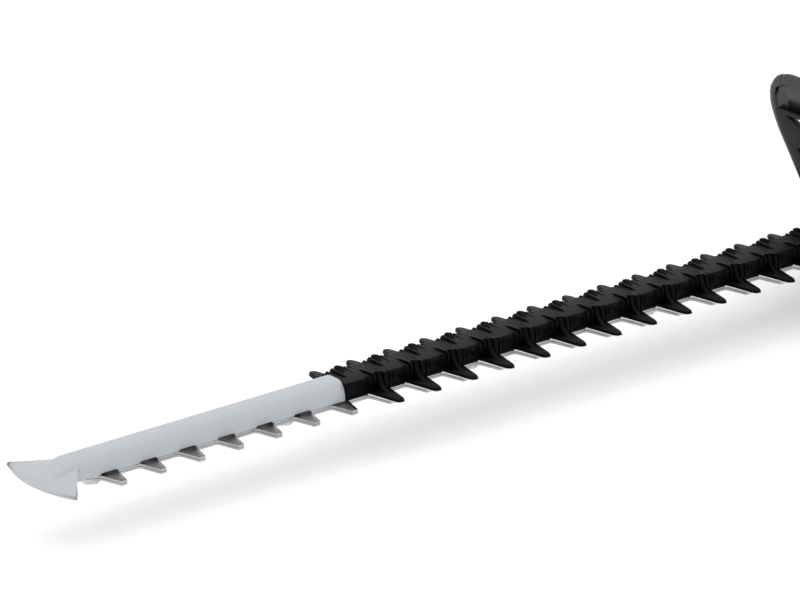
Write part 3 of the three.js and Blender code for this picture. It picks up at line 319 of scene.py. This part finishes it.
def rounded(corners, steps=6):
    """Corners [a, b, radius] as points; a corner with a radius is drawn round."""
    points = []
    for i, (a, b, *rest) in enumerate(corners):
        corner = Vector((a, b))
        radius = rest[0] if rest else 0
        before = Vector(corners[i - 1][:2]) - corner
        after = Vector(corners[(i + 1) % len(corners)][:2]) - corner
        reach = min(radius, before.length / 2, after.length / 2)
        if reach <= 0:
            points.append(corner)
            continue
        start, end = corner + before.normalized() * reach, corner + after.normalized() * reach
        for k in range(steps + 1):
            t = k / steps
            points.append(start * (1 - t) ** 2 + corner * 2 * t * (1 - t) + end * t ** 2)
    return points


def finish_solid(bm, faces, bevel=0, segments=2, chosen=None):
    """Points a new closed solid's faces outwards and rounds its edges, or the chosen ones."""
    bmesh.ops.recalc_face_normals(bm, faces=faces)
    if bevel > 0:
        edges = {edge for face in faces for edge in face.edges}
        if chosen:
            edges = {edge for edge in edges if chosen(edge)}
        bmesh.ops.bevel(bm, geom=list(edges), offset=bevel, offset_type="OFFSET", segments=segments,
                        profile=0.5, affect="EDGES", clamp_overlap=True, material=-1)


def prism(bm, across, points, low, high, bevel=0, segments=2, chosen=None):
    """An outline pulled from low to high."""
    rim = [bm.verts.new(across(a, b, low)) for a, b in points]
    cap = bm.faces.new(rim)
    pulled = bmesh.ops.extrude_face_region(bm, geom=[cap], use_keep_orig=True)["geom"]
    moved = [v for v in pulled if isinstance(v, bmesh.types.BMVert)]
    bmesh.ops.translate(bm, verts=moved, vec=across(0, 0, high) - across(0, 0, low))
    faces = list({face for v in rim + moved for face in v.link_faces})
    finish_solid(bm, faces, bevel, segments, chosen)


def block(bm, x, y, z, bevel=0, segments=2):
    """A block between two places on each axis, with rounded edges."""
    middle = Vector((sum(x) / 2, sum(y) / 2, sum(z) / 2))
    size = Matrix.Diagonal((x[1] - x[0], y[1] - y[0], z[1] - z[0], 1))
    made = bmesh.ops.create_cube(bm, size=1, matrix=Matrix.Translation(middle) @ size)
    faces = list({face for v in made["verts"] for face in v.link_faces})
    finish_solid(bm, faces, bevel, segments)


def span(a, b):
    return (min(a, b), max(a, b))


def add_piece(name, bm, materials, body, nodes, angle=35):
    """The finished mesh as an object that rides on a body and stands for its nodes."""
    mesh = bpy.data.meshes.new(name)
    bm.to_mesh(mesh)
    bm.free()
    for material in materials:
        mesh.materials.append(material)
    mesh.polygons.foreach_set("use_smooth", [True] * len(mesh.polygons))
    mesh.set_sharp_from_angle(angle=math.radians(angle))
    piece = bpy.data.objects.new(name, mesh)
    scene.collection.objects.link(piece)
    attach(piece, body)
    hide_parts(*nodes)
    return piece


# ---------- comb over the blades ----------

SPINE_HALF = 12.3 * MM
CHANNEL_HALF = 9.3 * MM                  # the channel the blades run in
CHANNEL_TOP = 7.3 * MM
FINGER_REACH = comb_high.y
WALL_LIP = 0.7 * MM                      # the lip at a wall's foot: how far it stands proud
LIP_ROOT = 0.6 * MM
LIP_HEIGHT = 2.1 * MM
STRIP_THICK = 0.7 * MM                   # steel wear strip under a finger


def comb_finger(bm, x, side):
    """A tapered finger with a flared root, a round end and rounded top edges, on a thin steel
    strip."""
    half = [(10.2, 11.5), (8.4, 12.6), (7.4, 14.7), (6.5, 19), (3.9, 32), (3.2, 34.6), (2.2, 36.4),
            (0.9, 37.15)]
    top = FINGER_LOW + FINGER_THICK

    def outline(margin):
        right = [(x + (across + margin) * MM, side * min(out * MM, FINGER_REACH))
                 for across, out in half]
        return right + [(2 * x - across, out) for across, out in reversed(right)]

    def on_top_rim(edge):
        high = all(v.co.z > top - 0.1 * MM for v in edge.verts)
        return high and any(abs(v.co.y) > 12 * MM for v in edge.verts)

    prism(bm, along_z, outline(-0.2), FINGER_LOW + STRIP_THICK, top, 0.9 * MM, 2, on_top_rim)
    before = set(bm.faces)
    prism(bm, along_z, outline(0.25), FINGER_LOW, FINGER_LOW + STRIP_THICK)
    for face in set(bm.faces) - before:
        face.material_index = 1


def comb_fin(bm, x, side):
    """The buttress that sweeps from the wall's top down onto the finger."""
    sweep = []
    for k in range(9):
        angle = k / 8 * math.pi / 2
        sweep.append((12.6 + 9.4 * (1 - math.cos(angle)), 1.2 + 11.1 * (1 - math.sin(angle))))
    corners = [(5, 0.6), (5, 10), (10.8, 12.3)] + sweep + [(22, 0.6)]
    points = [(side * y * MM, BASE + z * MM) for y, z in corners]
    prism(bm, along_x, points, x - 2.4 * MM, x + 0.8 * MM, 0.4 * MM, 2)
    brace = [(11, 0.6), (11, 11.4), (12.9, 11.4), (16.5, 0.6)]
    points = [(side * y * MM, BASE + z * MM) for y, z in brace]
    prism(bm, along_x, points, x - 4.6 * MM, x - 3.6 * MM, 0.2 * MM, 2)


def comb_rib(bm, x, side, width, top, proud, inner):
    """An upright rib on the wall that bends over the top edge and runs out on the top."""
    corners = [(10, 0.4), (12.3 + proud, 0.4), (12.3 + proud, top - 1.9), (11.2 + proud * 0.5, top),
               (inner + 5, top - 0.7), (inner, 9.8), (9, 9)]
    points = [(side * y * MM, BASE + z * MM) for y, z in corners]
    prism(bm, along_x, points, x - width / 2 * MM, x + width / 2 * MM, 0.28 * MM, 2)


# Ribs beside each finger: place, width, top, how far they stand proud, where they end on the top
RIBS = [(7.3, 1.5, 10.7, 0.7, 2), (2.9, 1.9, 11.7, 0.9, -4), (-6.2, 2.3, 10.6, 1.0, -7),
        (-9.8, 1.6, 10.4, 0.8, -2)]
PANEL_START, PANEL_END = 18.2 * MM, 11.8 * MM        # the flat panel behind a finger


def comb_module(bm, x, side):
    """One finger with its buttress, its ribs and the panel behind it."""
    comb_finger(bm, x, side)
    comb_fin(bm, x, side)
    for place, width, top, proud, inner in RIBS:
        comb_rib(bm, x + place * MM, side, width, top, proud, inner)
    panel = span(x - PANEL_START, x - PANEL_END)
    if panel[0] > comb_low.x + 1 * MM:
        block(bm, panel, span(side * 12 * MM, side * 12.9 * MM),
              (BASE + 3.6 * MM, BASE + 9.2 * MM), 0.4 * MM)


def make_comb():
    """A spine with a channel for the bar, a lip along each wall, and the fingers on both sides."""
    bm = bmesh.new()
    top, roof = comb_high.z, FINGER_LOW + CHANNEL_TOP
    section = rounded([[-SPINE_HALF, top, 2 * MM], [SPINE_HALF, top, 2 * MM],
                       [SPINE_HALF, FINGER_LOW], [CHANNEL_HALF, FINGER_LOW],
                       [CHANNEL_HALF, roof], [-CHANNEL_HALF, roof],
                       [-CHANNEL_HALF, FINGER_LOW], [-SPINE_HALF, FINGER_LOW]], 5)
    prism(bm, along_x, section, comb_low.x, comb_high.x)
    for side in (-1, 1):
        lip = span(side * (SPINE_HALF - LIP_ROOT), side * (SPINE_HALF + WALL_LIP))
        block(bm, (comb_low.x, comb_high.x), lip, (FINGER_LOW, FINGER_LOW + LIP_HEIGHT), 0.35 * MM)
    for i in range(FINGERS):
        comb_module(bm, FAR_ROOT + i * PITCH, -1)
    for i in range(FINGERS - 1):
        comb_module(bm, NEAR_ROOT + i * PITCH, 1)
    add_piece("comb", bm, [BLACK, GROUND], "housing", ["comb_guard"])


make_comb()


# ---------- tip guard ----------

SLEEVE_HALF = 11.6 * MM
CROWN = 11.4 * MM                        # top of the sleeve above the fingers' middle plane
NOTCH_HALF = 6.2 * MM                    # half the length of a notch in the sleeve's lower edge
NOTCH_RISE = 1.0 * MM
NOTCHES = 7                              # tried on each side; those before the sleeve are left out
TIP_WALL = 1.4 * MM
TIP_BEVEL = 0.35 * MM
TIP_MARGIN = 0.2 * MM                    # the skin lies this far inside the frame's box

NOSE_LENGTH = 27 * MM
NOSE_HALF = tip_high.y - TIP_MARGIN
NOSE_SWEEP = 8.0 * MM                    # how far the front edge falls back at the sides
REAR_SWEEP = 20.4 * MM                   # how far the rear edges run forward on their way out
CORNER_START = 0.9                       # share of the half width where the corners begin
CORNER_REAR = 0.7 * MM                   # how far each edge gives way at a corner
CORNER_FRONT = 1.2 * MM
FAN_ROOT = 10.2 * MM                     # where the rear edge leaves the sleeve
FAN_REAR = 1.7 * MM                      # height of the rear edge's outer end
FAN_FRONT = 0.6 * MM                     # height of the front edge, without its rim
FAN_RIM = 1.0 * MM                       # the raised line behind the front edge
FAN_BEAD = 0.5 * MM                      # the bead along the rear edges
FAN_GROOVES = (0.34, 0.5)                # places of the cross grooves, as shares of the way
GROOVE_DEPTH = 0.4 * MM
GROOVE_HALF = 11 * MM
SLEEVE_FRONT = tip_high.x - NOSE_LENGTH - 1.7 * MM


def sleeve_height(y):
    """Height of the sleeve above the fingers' middle plane: a rounded arch with upright sides."""
    across = min(abs(y) / (SLEEVE_HALF - 0.15 * MM), 1)
    return CROWN * (1 - across ** 3.6) ** (1 / 2.1)


def sleeve_outline():
    """Half of the sleeve's section, from its lower edge to the crown, as (y, z)."""
    points = [(SLEEVE_HALF, FINGER_LOW), (SLEEVE_HALF, FINGER_LOW + NOTCH_RISE)]
    for k in range(1, 25):
        y = (SLEEVE_HALF - 0.2 * MM) * math.cos(k / 24 * math.pi / 2)
        points.append((y, BASE + sleeve_height(y)))
    return points


def notch_places():
    """Middle and side of each notch: over the places where the comb's fingers would go on."""
    places = []
    for i in range(NOTCHES):
        near = NEAR_ROOT + (FINGERS - 1 + i) * PITCH
        places += [(near, 1), (near - PITCH / 2, -1)]
    return [(x, side) for x, side in places if x - NOTCH_HALF > tip_low.x]


def make_sleeve(bm):
    """An arch over the blades' free end, with notches in its lower edges."""
    half = sleeve_outline()
    near = [(y, z) for y, z in reversed(half[:-1])]
    section = [(-y, z) for y, z in half[:-1]] + [half[-1]] + near
    stops = {tip_low.x, SLEEVE_FRONT + 0.3 * MM}
    for x, side in notch_places():
        stops |= {x - NOTCH_HALF, x + NOTCH_HALF}
    stops = sorted(stops)
    rim = [bm.verts.new((stops[0], y, z)) for y, z in section]
    edges = [bm.edges.new(pair) for pair in zip(rim, rim[1:])]
    for start, end in zip(stops, stops[1:]):
        pulled = bmesh.ops.extrude_edge_only(bm, edges=edges)["geom"]
        edges = [e for e in pulled if isinstance(e, bmesh.types.BMEdge)]
        moved = [v for v in pulled if isinstance(v, bmesh.types.BMVert)]
        bmesh.ops.translate(bm, verts=moved, vec=(end - start, 0, 0))
    cut = []
    for face in bm.faces:
        centre = face.calc_center_median()
        if centre.z > FINGER_LOW + NOTCH_RISE:
            continue
        for x, side in notch_places():
            if abs(centre.x - x) < NOTCH_HALF and centre.y * side > 0:
                cut.append(face)
    bmesh.ops.delete(bm, geom=list(set(cut)), context="FACES")


def fan_height(y, share):
    """Height of the fan at y, and from its rear edge, share 0, to its front, share 1."""
    out = max(0.0, (abs(y) - FAN_ROOT) / (NOSE_HALF - FAN_ROOT))
    crest = sleeve_height(min(abs(y), FAN_ROOT))
    rear = FAN_REAR + (crest - FAN_REAR) * (1 - out) ** 1.3
    height = FAN_FRONT + (rear - FAN_FRONT) * (1 - share) ** 1.6 * (1 + 1.6 * share)
    rim = max(0.0, 1 - abs(share - 0.93) / 0.045)
    height += FAN_RIM * math.sin(rim * math.pi / 2) ** 2
    bead = max(0.0, 1 - share / 0.08)
    height += FAN_BEAD * math.sin(bead * math.pi / 2) * min(1, out * 2.5)
    end = min(1.0, max(0.0, (GROOVE_HALF - abs(y)) / (1.5 * MM)))
    for groove in FAN_GROOVES:
        height -= GROOVE_DEPTH * end * math.exp(-((share - groove) / 0.02) ** 2)
    return height


def make_fan(bm):
    """The flared nose: a sheet from the sleeve's front and its own rear edges to a curved front
    edge, with a web down to it from each side of the sleeve."""
    sheet = bmesh.ops.create_grid(bm, x_segments=120, y_segments=80, size=0.5)["verts"]
    for v in sheet:
        across, share = 2 * v.co.x, v.co.y + 0.5
        y = across * NOSE_HALF
        out = max(0.0, (abs(y) - FAN_ROOT) / (NOSE_HALF - FAN_ROOT))
        corner = max(0.0, (abs(across) - CORNER_START) / 0.1) ** 2.5
        rear_x = SLEEVE_FRONT + REAR_SWEEP * out + CORNER_REAR * corner
        front_x = tip_high.x - TIP_MARGIN - NOSE_SWEEP * across ** 2 - CORNER_FRONT * corner
        v.co = Vector((rear_x + (front_x - rear_x) * share, y, BASE + fan_height(y, share)))
    web = [(-1, -1.2), (-1, 6.2), (3, 4.2), (8, 1.2), (14, -1.2)]
    for side in (-1, 1):
        start = side * (SLEEVE_HALF - 0.1 * MM)
        corners = [(SLEEVE_FRONT + x * MM, start, BASE + z * MM) for x, z in web]
        face = bm.faces.new([bm.verts.new(corner) for corner in corners])
        face.normal_update()
        if face.normal.y * side < 0:
            face.normal_flip()


def make_tip():
    """Sleeve and nose as one skin, facing outwards and thickened inwards."""
    bm = bmesh.new()
    make_sleeve(bm)
    make_fan(bm)
    bm.normal_update()
    inward = []
    for face in bm.faces:
        centre = face.calc_center_median()
        if centre.x < SLEEVE_FRONT:
            outward = Vector((0, centre.y, centre.z - BASE))
        elif centre.x > SLEEVE_FRONT and abs(face.normal.z) < 0.01:
            outward = Vector((0, centre.y, 0))
        else:
            outward = Vector((0, 0, 1))
        if face.normal.dot(outward) < 0:
            inward.append(face)
    bmesh.ops.reverse_faces(bm, faces=inward)
    piece = add_piece("tip_shell", bm, [GREY], "housing", ["tip_guard"], angle=50)
    wall = piece.modifiers.new("wall", "SOLIDIFY")
    wall.thickness = TIP_WALL
    wall.offset = -1
    edge = piece.modifiers.new("edge", "BEVEL")
    edge.width = TIP_BEVEL
    edge.segments = 2
    edge.limit_method = "ANGLE"
    edge.angle_limit = math.radians(50)


make_tip()

# ---------- blades ----------

GRIND = 1.1 * MM                         # width of the ground bevel along a tooth
GRIND_DROP = 0.8 * MM


def make_blade(node, body, up):
    """The blade with its edges ground to a bevel on the outer side."""
    bm = bmesh.new()
    bm.from_mesh(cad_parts[node].data)
    bmesh.ops.remove_doubles(bm, verts=bm.verts, dist=0.01 * MM)
    bmesh.ops.dissolve_limit(bm, angle_limit=math.radians(1), verts=bm.verts, edges=bm.edges)
    flat = [f for f in bm.faces if f.normal.z * up > 0.9]
    rims = [e for f in flat for e in f.edges if any(g.normal.z * up < 0.5 for g in e.link_faces)]
    outer = {v for e in rims for v in e.verts}
    rim = bmesh.ops.inset_region(bm, faces=flat, thickness=GRIND, depth=0, use_even_offset=True,
                                 use_boundary=True)["faces"]
    for face in rim:
        face.material_index = 1
    bmesh.ops.translate(bm, verts=list(outer), vec=(0, 0, -up * GRIND_DROP))
    add_piece(node + "_ground", bm, [BLADE, GROUND], body, [node], angle=20)


make_blade("upper_blade", "upper_blade", 1)
make_blade("lower_blade", "lower_blade", -1)


# ---------- hand guard ----------

GUARD_WALL = 2.4 * MM
GUARD_DEPTH = 11.5 * MM                  # from its front to its back edge
GUARD_DRAFT = 4.5 * MM                   # how far the back edge is drawn in
GUARD_PROUD = 1.6 * MM                   # how far the skin stands before the frame's box
ROLL = 6 * MM                            # width of the rolled rim
ROLL_DEPTH = 4 * MM
ROLL_STEPS = 8
SINK = 1.6 * MM                          # how deep the face lies behind the rim
NOTCH_WIDE = 61 * MM                     # the notch in the back edge's foot: half width, top
NOTCH_HIGH = 34 * MM
FACE_BACK, FACE_FRONT = 1.5 * MM, 1.4 * MM   # the lower face, behind and before the skin's front


def upright(corners, steps):
    """Corners (y, z, radius) in millimetres from the fingers' middle plane, as rounded points."""
    return rounded([[y * MM, BASE + z * MM, r * MM] for y, z, r in corners], steps)


def both_sides(corners):
    """One side's corners, and the other side's on the way back."""
    return corners + [(-y, z, r) for y, z, r in reversed(corners)]


def guard_outline():
    """The guard's outline as (y, z): a narrow foot widening to a broad top with round corners."""
    edge = [(33, -30, 7), (44, -15, 8), (44, 4, 8), (60, 24, 8), (84, 54, 14), (92.8, 72, 14),
            (90, 87.2, 12), (76, 93.6, 14), (58, 93.6, 8)]
    return upright(both_sides(edge), 8)


def guard_windows():
    """Two slots a side, seen through from the front, and the mouth for the bar."""
    shapes = []
    for side in (-1, 1):
        for low, high, reach in ((38, 46, 60), (58, 66, 72)):
            shapes.append([(side * 22, low, 3), (side * 52, low, 3), (side * reach, high, 2.5),
                           (side * 22, high, 3)])
    shapes.append([(-14, -14.5, 3), (14, -14.5, 3), (14, 7.8, 3), (-14, 7.8, 3)])
    return [upright(shape, 5) for shape in shapes]


def loop_edges(bm, points, depth):
    rim = [bm.verts.new((depth, y, z)) for y, z in points]
    return [bm.edges.new((rim[i - 1], rim[i])) for i in range(len(rim))]


def pierced_plate(bm, outer, holes, back, front, bevel):
    """A plate with holes, its front edges rounded."""
    edges = loop_edges(bm, outer, back)
    for hole in holes:
        edges += loop_edges(bm, hole, back)
    filled = bmesh.ops.triangle_fill(bm, use_beauty=True, use_dissolve=False, edges=edges,
                                     normal=(1, 0, 0))["geom"]
    sheet = [f for f in filled if isinstance(f, bmesh.types.BMFace)]
    pulled = bmesh.ops.extrude_face_region(bm, geom=sheet, use_keep_orig=True)["geom"]
    moved = [v for v in pulled if isinstance(v, bmesh.types.BMVert)]
    bmesh.ops.translate(bm, verts=moved, vec=(front - back, 0, 0))
    faces = list({f for v in moved + [v for f in sheet for v in f.verts] for f in v.link_faces})

    def on_front(edge):
        return all(v.co.x > front - 0.01 * MM for v in edge.verts) and edge.calc_face_angle(0) > 1

    finish_solid(bm, faces, bevel, 3, on_front)


def guard_rings(front):
    """Closed rings of the guard's skin, from its back edge over the rolled rim to the sunk face."""
    outline = [Vector(point) for point in guard_outline()]
    count = len(outline)
    turned = sum(outline[i - 1].cross(outline[i]) for i in range(count))
    inward = []
    for i in range(count):
        along = (outline[(i + 1) % count] - outline[i - 1]).normalized()
        normal = Vector((-along.y, along.x))
        inward.append(normal if turned > 0 else -normal)
    steps = [(-GUARD_DEPTH, GUARD_DRAFT)]
    for k in range(ROLL_STEPS + 1):
        angle = k / ROLL_STEPS * math.pi / 2
        steps.append((-ROLL_DEPTH * (1 - math.sin(angle)), ROLL * (1 - math.cos(angle))))
    steps += [(0, ROLL + 0.8 * MM), (-SINK, ROLL + 1.8 * MM)]
    rings = []
    for depth, margin in steps:
        ring = []
        for (y, z), normal in zip(outline, inward):
            width = min(1.0, max(0.4, (z - BASE) / (50 * MM)))      # narrower towards the foot
            ring.append((front + depth, y + normal.x * margin * width,
                         z + normal.y * margin * width))
        rings.append(ring)
    notch = front - ROLL_DEPTH - 0.5 * MM
    rings[0] = [(notch if abs(y) < NOTCH_WIDE and z < BASE + NOTCH_HIGH else x, y, z)
                for x, y, z in rings[0]]
    return rings


def make_guard():
    """A dished guard: a rolled rim, a sunk upper face, and a raised lower face with slots and the
    bar's mouth."""
    bm = bmesh.new()
    front = guard_high.x + GUARD_PROUD
    rings = [[bm.verts.new(point) for point in ring] for ring in guard_rings(front)]
    for outer, inner in zip(rings, rings[1:]):
        for i in range(len(outer)):
            bm.faces.new((outer[i - 1], outer[i], inner[i], inner[i - 1]))
    last = rings[-1]
    rim = [bm.edges.get((last[i - 1], last[i])) for i in range(len(last))]
    holes = []
    for shape in guard_windows():
        holes += loop_edges(bm, shape, front - SINK)
    bmesh.ops.triangle_fill(bm, use_beauty=True, use_dissolve=False, edges=rim + holes,
                            normal=(1, 0, 0))
    bmesh.ops.recalc_face_normals(bm, faces=bm.faces)
    if sum(f.normal.x * f.calc_area() for f in bm.faces) < 0:
        bmesh.ops.reverse_faces(bm, faces=bm.faces)
    piece = add_piece("hand_guard_shell", bm, [GUARD_BLACK], "housing",
                      ["hand_guard"], angle=24)
    wall = piece.modifiers.new("wall", "SOLIDIFY")
    wall.thickness = GUARD_WALL
    wall.offset = -1

    bm = bmesh.new()
    lower = [(28, -26, 4), (38, -14, 6), (38, 6, 8), (54, 26, 8), (77, 55.5, 8), (83, 69, 5)]
    pierced_plate(bm, upright(both_sides(lower), 6), guard_windows(), front - FACE_BACK,
                  front + FACE_FRONT, 1.2 * MM)
    add_piece("guard_face", bm, [SHELL_BLACK], "housing", [], angle=40)


make_guard()


# ---------- front handle and its grip ----------

HANDLE_X = (handle_low.x + handle_high.x) / 2
TUBE = 12 * MM                           # radius of the tube, and of its bend
BEND = 20 * MM
BEND_STEPS = 12
LEG = 8 * MM                             # straight down before the sides lean in
FOOT_HALF, FOOT_DROP = 53 * MM, 50 * MM  # where the sides lean to
HANDLE_TOP = handle_high.z - TUBE
HANDLE_HALF = handle_high.y - TUBE
GRIP_RIBS = 15
GRIP_GROOVE = 0.9 * MM                   # depth between two ribs


def make_handle():
    """A round tube bent into a loop, with a flat foot at each end."""
    bm = bmesh.new()
    reach = HANDLE_HALF - BEND - 0.4 * MM
    turn = Matrix.Translation((HANDLE_X, 0, HANDLE_TOP)) @ Matrix.Rotation(math.pi / 2, 4, "X")
    ring = bmesh.ops.create_circle(bm, cap_ends=False, radius=TUBE, segments=32,
                                   matrix=turn)["verts"]
    edges = list({e for v in ring for e in v.link_edges})

    def pull(edges, offset):
        made = bmesh.ops.extrude_edge_only(bm, edges=edges)["geom"]
        moved = [v for v in made if isinstance(v, bmesh.types.BMVert)]
        bmesh.ops.translate(bm, verts=moved, vec=offset)
        return [e for e in made if isinstance(e, bmesh.types.BMEdge) and
                all(v in moved for v in e.verts)], moved

    edges, moved = pull(edges, (0, reach, 0))
    centre = Vector((HANDLE_X, reach, HANDLE_TOP - BEND))
    step = Matrix.Rotation(-math.pi / (2 * BEND_STEPS), 3, "X")
    for k in range(BEND_STEPS):
        edges, moved = pull(edges, (0, 0, 0))
        bmesh.ops.rotate(bm, verts=moved, cent=centre, matrix=step)
    edges, moved = pull(edges, (0, 0, -LEG))
    lean = math.atan2(HANDLE_HALF - FOOT_HALF, FOOT_DROP)
    hip = Vector((HANDLE_X, HANDLE_HALF, HANDLE_TOP - BEND - LEG))
    for k in range(3):
        edges, moved = pull(edges, (0, -0.3 * MM, -1.2 * MM))
        bmesh.ops.rotate(bm, verts=moved, cent=hip, matrix=Matrix.Rotation(-lean / 3, 3, "X"))
    edges, moved = pull(edges, (0, -14.6 * MM, -46 * MM))
    bmesh.ops.holes_fill(bm, edges=edges)
    seat = shell_high.y + 0.3 * MM           # just off the housing's side
    bmesh.ops.bisect_plane(bm, geom=bm.verts[:] + bm.edges[:] + bm.faces[:],
                           plane_co=(0, seat, 0), plane_no=(0, 1, 0))
    stray = [v for v in bm.verts
             if v.co.y < seat - 0.01 * MM and v.co.z < shell_low.z + 70 * MM]
    bmesh.ops.delete(bm, geom=stray, context="VERTS")
    open_edges = [e for e in bm.edges
                  if len(e.link_faces) == 1 and e.verts[0].co.z < BASE + 40 * MM]
    bmesh.ops.holes_fill(bm, edges=open_edges)
    bmesh.ops.mirror(bm, geom=bm.verts[:] + bm.edges[:] + bm.faces[:], axis="Y",
                     merge_dist=0.01 * MM)
    bmesh.ops.remove_doubles(bm, verts=bm.verts, dist=0.02 * MM)
    bmesh.ops.recalc_face_normals(bm, faces=bm.faces)
    for side in (-1, 1):
        near, far = side * seat, side * (seat + 6 * MM)
        low, high = handle_low.z, BASE + 18 * MM
        foot = rounded([[handle_low.x, low, 7 * MM], [handle_high.x, low, 7 * MM],
                        [handle_high.x, high, 6 * MM], [handle_low.x, high, 6 * MM]], 6)
        prism(bm, along_y, foot, near, far, 0.9 * MM, 3)
    add_piece("handle_loop", bm, [SHELL_BLACK], "housing", ["front_handle"],
              angle=40)


def make_grip():
    """A soft ribbed sleeve on the handle's straight top."""
    bm = bmesh.new()
    inner, outer = TUBE + 0.3 * MM, (grip_high.z - grip_low.z) / 2
    groove = GRIP_GROOVE
    profile = [(grip_low.y, inner), (grip_low.y, outer - groove), (grip_low.y + groove, outer)]
    start, run = grip_low.y + 3 * MM, grip_high.y - grip_low.y - 6 * MM
    for i in range(GRIP_RIBS * 6 + 1):
        y = start + run * i / (GRIP_RIBS * 6)
        sunk = (0.5 - 0.5 * math.cos(2 * math.pi * i / 6)) ** 0.6
        profile.append((y, outer - groove * sunk))
    profile += [(grip_high.y - groove, outer), (grip_high.y, outer - groove),
                (grip_high.y, inner)]
    rim = [bm.verts.new((HANDLE_X, y, HANDLE_TOP + r)) for y, r in profile]
    edges = [bm.edges.new(pair) for pair in zip(rim, rim[1:])]
    bmesh.ops.spin(bm, geom=rim + edges, cent=(HANDLE_X, 0, HANDLE_TOP), axis=(0, 1, 0),
                   dvec=(0, 0, 0), angle=2 * math.pi, steps=48, use_merge=True)
    ends = [e for e in bm.edges if len(e.link_faces) == 1]
    bmesh.ops.bridge_loops(bm, edges=ends)
    bmesh.ops.recalc_face_normals(bm, faces=bm.faces)
    add_piece("grip_sleeve", bm, [RUBBER], "housing", ["front_grip"], angle=50)


make_handle()
make_grip()


# ---------- other pieces keep their shape and get finer edges ----------

def refine(node, material, bevel=0.5, segments=2, angle=30, body="housing"):
    """A copy of the piece with its flat facets joined and its sharp edges rounded."""
    bm = bmesh.new()
    bm.from_mesh(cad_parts[node].data)
    bmesh.ops.remove_doubles(bm, verts=bm.verts, dist=0.01 * MM)
    bmesh.ops.dissolve_limit(bm, angle_limit=math.radians(0.5), verts=bm.verts, edges=bm.edges)
    sharp = [e for e in bm.edges
             if len(e.link_faces) == 2 and e.calc_face_angle(0) > math.radians(50)]
    bmesh.ops.bevel(bm, geom=sharp, offset=bevel * MM, offset_type="OFFSET", segments=segments,
                    profile=0.5, affect="EDGES", clamp_overlap=True, material=-1)
    return add_piece(node + "_finished", bm, [material], body, [node], angle=angle)


refine("left_housing", GREY, 0.4)
refine("right_housing", GREY, 0.4)
refine("battery_case", SHELL_BLACK, 0.8, 3, body="battery")
refine("release_button", GREY, 0.5, body="release_button")
refine("switch_bail", GREY, 1.2, 3, body="switch_bail")
refine("trigger", SHELL_BLACK, 1.2, 3, body="trigger")
refine("lock_button", SHELL_BLACK, 0.4, body="lock_button")
refine("skid_plate", SHELL_BLACK, 0.9)
for side_name in ("left", "right"):
    refine(f"rear_grip_{side_name}", RUBBER, 0.6, 3)
    refine(f"rear_foot_{side_name}", RUBBER, 0.6, 3)


def paint_rest():
    """Pieces whose shape is already right get the finish of their slot; the guide bar gets
    near-black painted shade instead.
    """
    finishes = {"grey_plastic": GREY, "black_plastic": SHELL_BLACK, "soft_rubber": RUBBER,
                "blade_steel": BLADE, "zinc_steel": ZINC, "gear_steel": GEARS, "cast_alloy": ALLOY,
                "copper_winding": WINDING, "circuit_board": BOARD}
    for name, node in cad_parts.items():
        slot = node.data.materials[0].name.split(".")[0] if node.data.materials else ""
        node.data.materials.clear()
        # The guide bar gets the near-black painted shade for the notches' dark inside.
        finish = PAINTED_SHADE_BAR if name == "guide_bar" else finishes.get(slot, ZINC)
        node.data.materials.append(finish)


paint_rest()


# ---------- floor and light ----------

def add_floor():
    """A pale matt ground; it is staging, and not part of the object."""
    bm = bmesh.new()
    bmesh.ops.create_grid(bm, x_segments=8, y_segments=8, size=8)
    mesh = bpy.data.meshes.new("floor")
    bm.to_mesh(mesh)
    bm.free()
    material, tree, surface = shader("studio_floor", {"Roughness": 0.9, "Specular IOR Level": 0.1})
    tone = object_noise(tree, 3, detail=2)
    grey = mix_colours(tree, tone, (0.93, 0.93, 0.93), (0.95, 0.95, 0.95))
    tree.links.new(grey, surface.inputs["Base Color"])
    mesh.materials.append(material)
    floor = bpy.data.objects.new("floor", mesh)
    scene.collection.objects.link(floor)


def add_light(name, place, target, size, power):
    lamp = bpy.data.lights.new(name, "AREA")
    lamp.shape = "RECTANGLE"
    lamp.size, lamp.size_y = size
    lamp.energy = power
    holder = bpy.data.objects.new(name, lamp)
    direction = Vector(target) - Vector(place)
    turn = direction.to_track_quat("-Z", "Y").to_matrix().to_4x4()
    holder.matrix_world = Matrix.Translation(place) @ turn
    scene.collection.objects.link(holder)


def add_studio():
    """An even bright room, with one broad lamp overhead and another beside it."""
    world = bpy.data.worlds.new("studio")
    world.use_nodes = True
    sky = world.node_tree.nodes["Background"]
    sky.inputs["Color"].default_value = (1, 1, 1, 1)
    sky.inputs["Strength"].default_value = 1.2
    scene.world = world
    add_light("overhead", (0.2, -0.3, 2.6), (0.1, 0, 0), (3.2, 2.4), 9)
    add_light("key", (1.8, -1.2, 2.0), (0.2, 0, 0), (1.6, 1.6), 4)


add_floor()
add_studio()
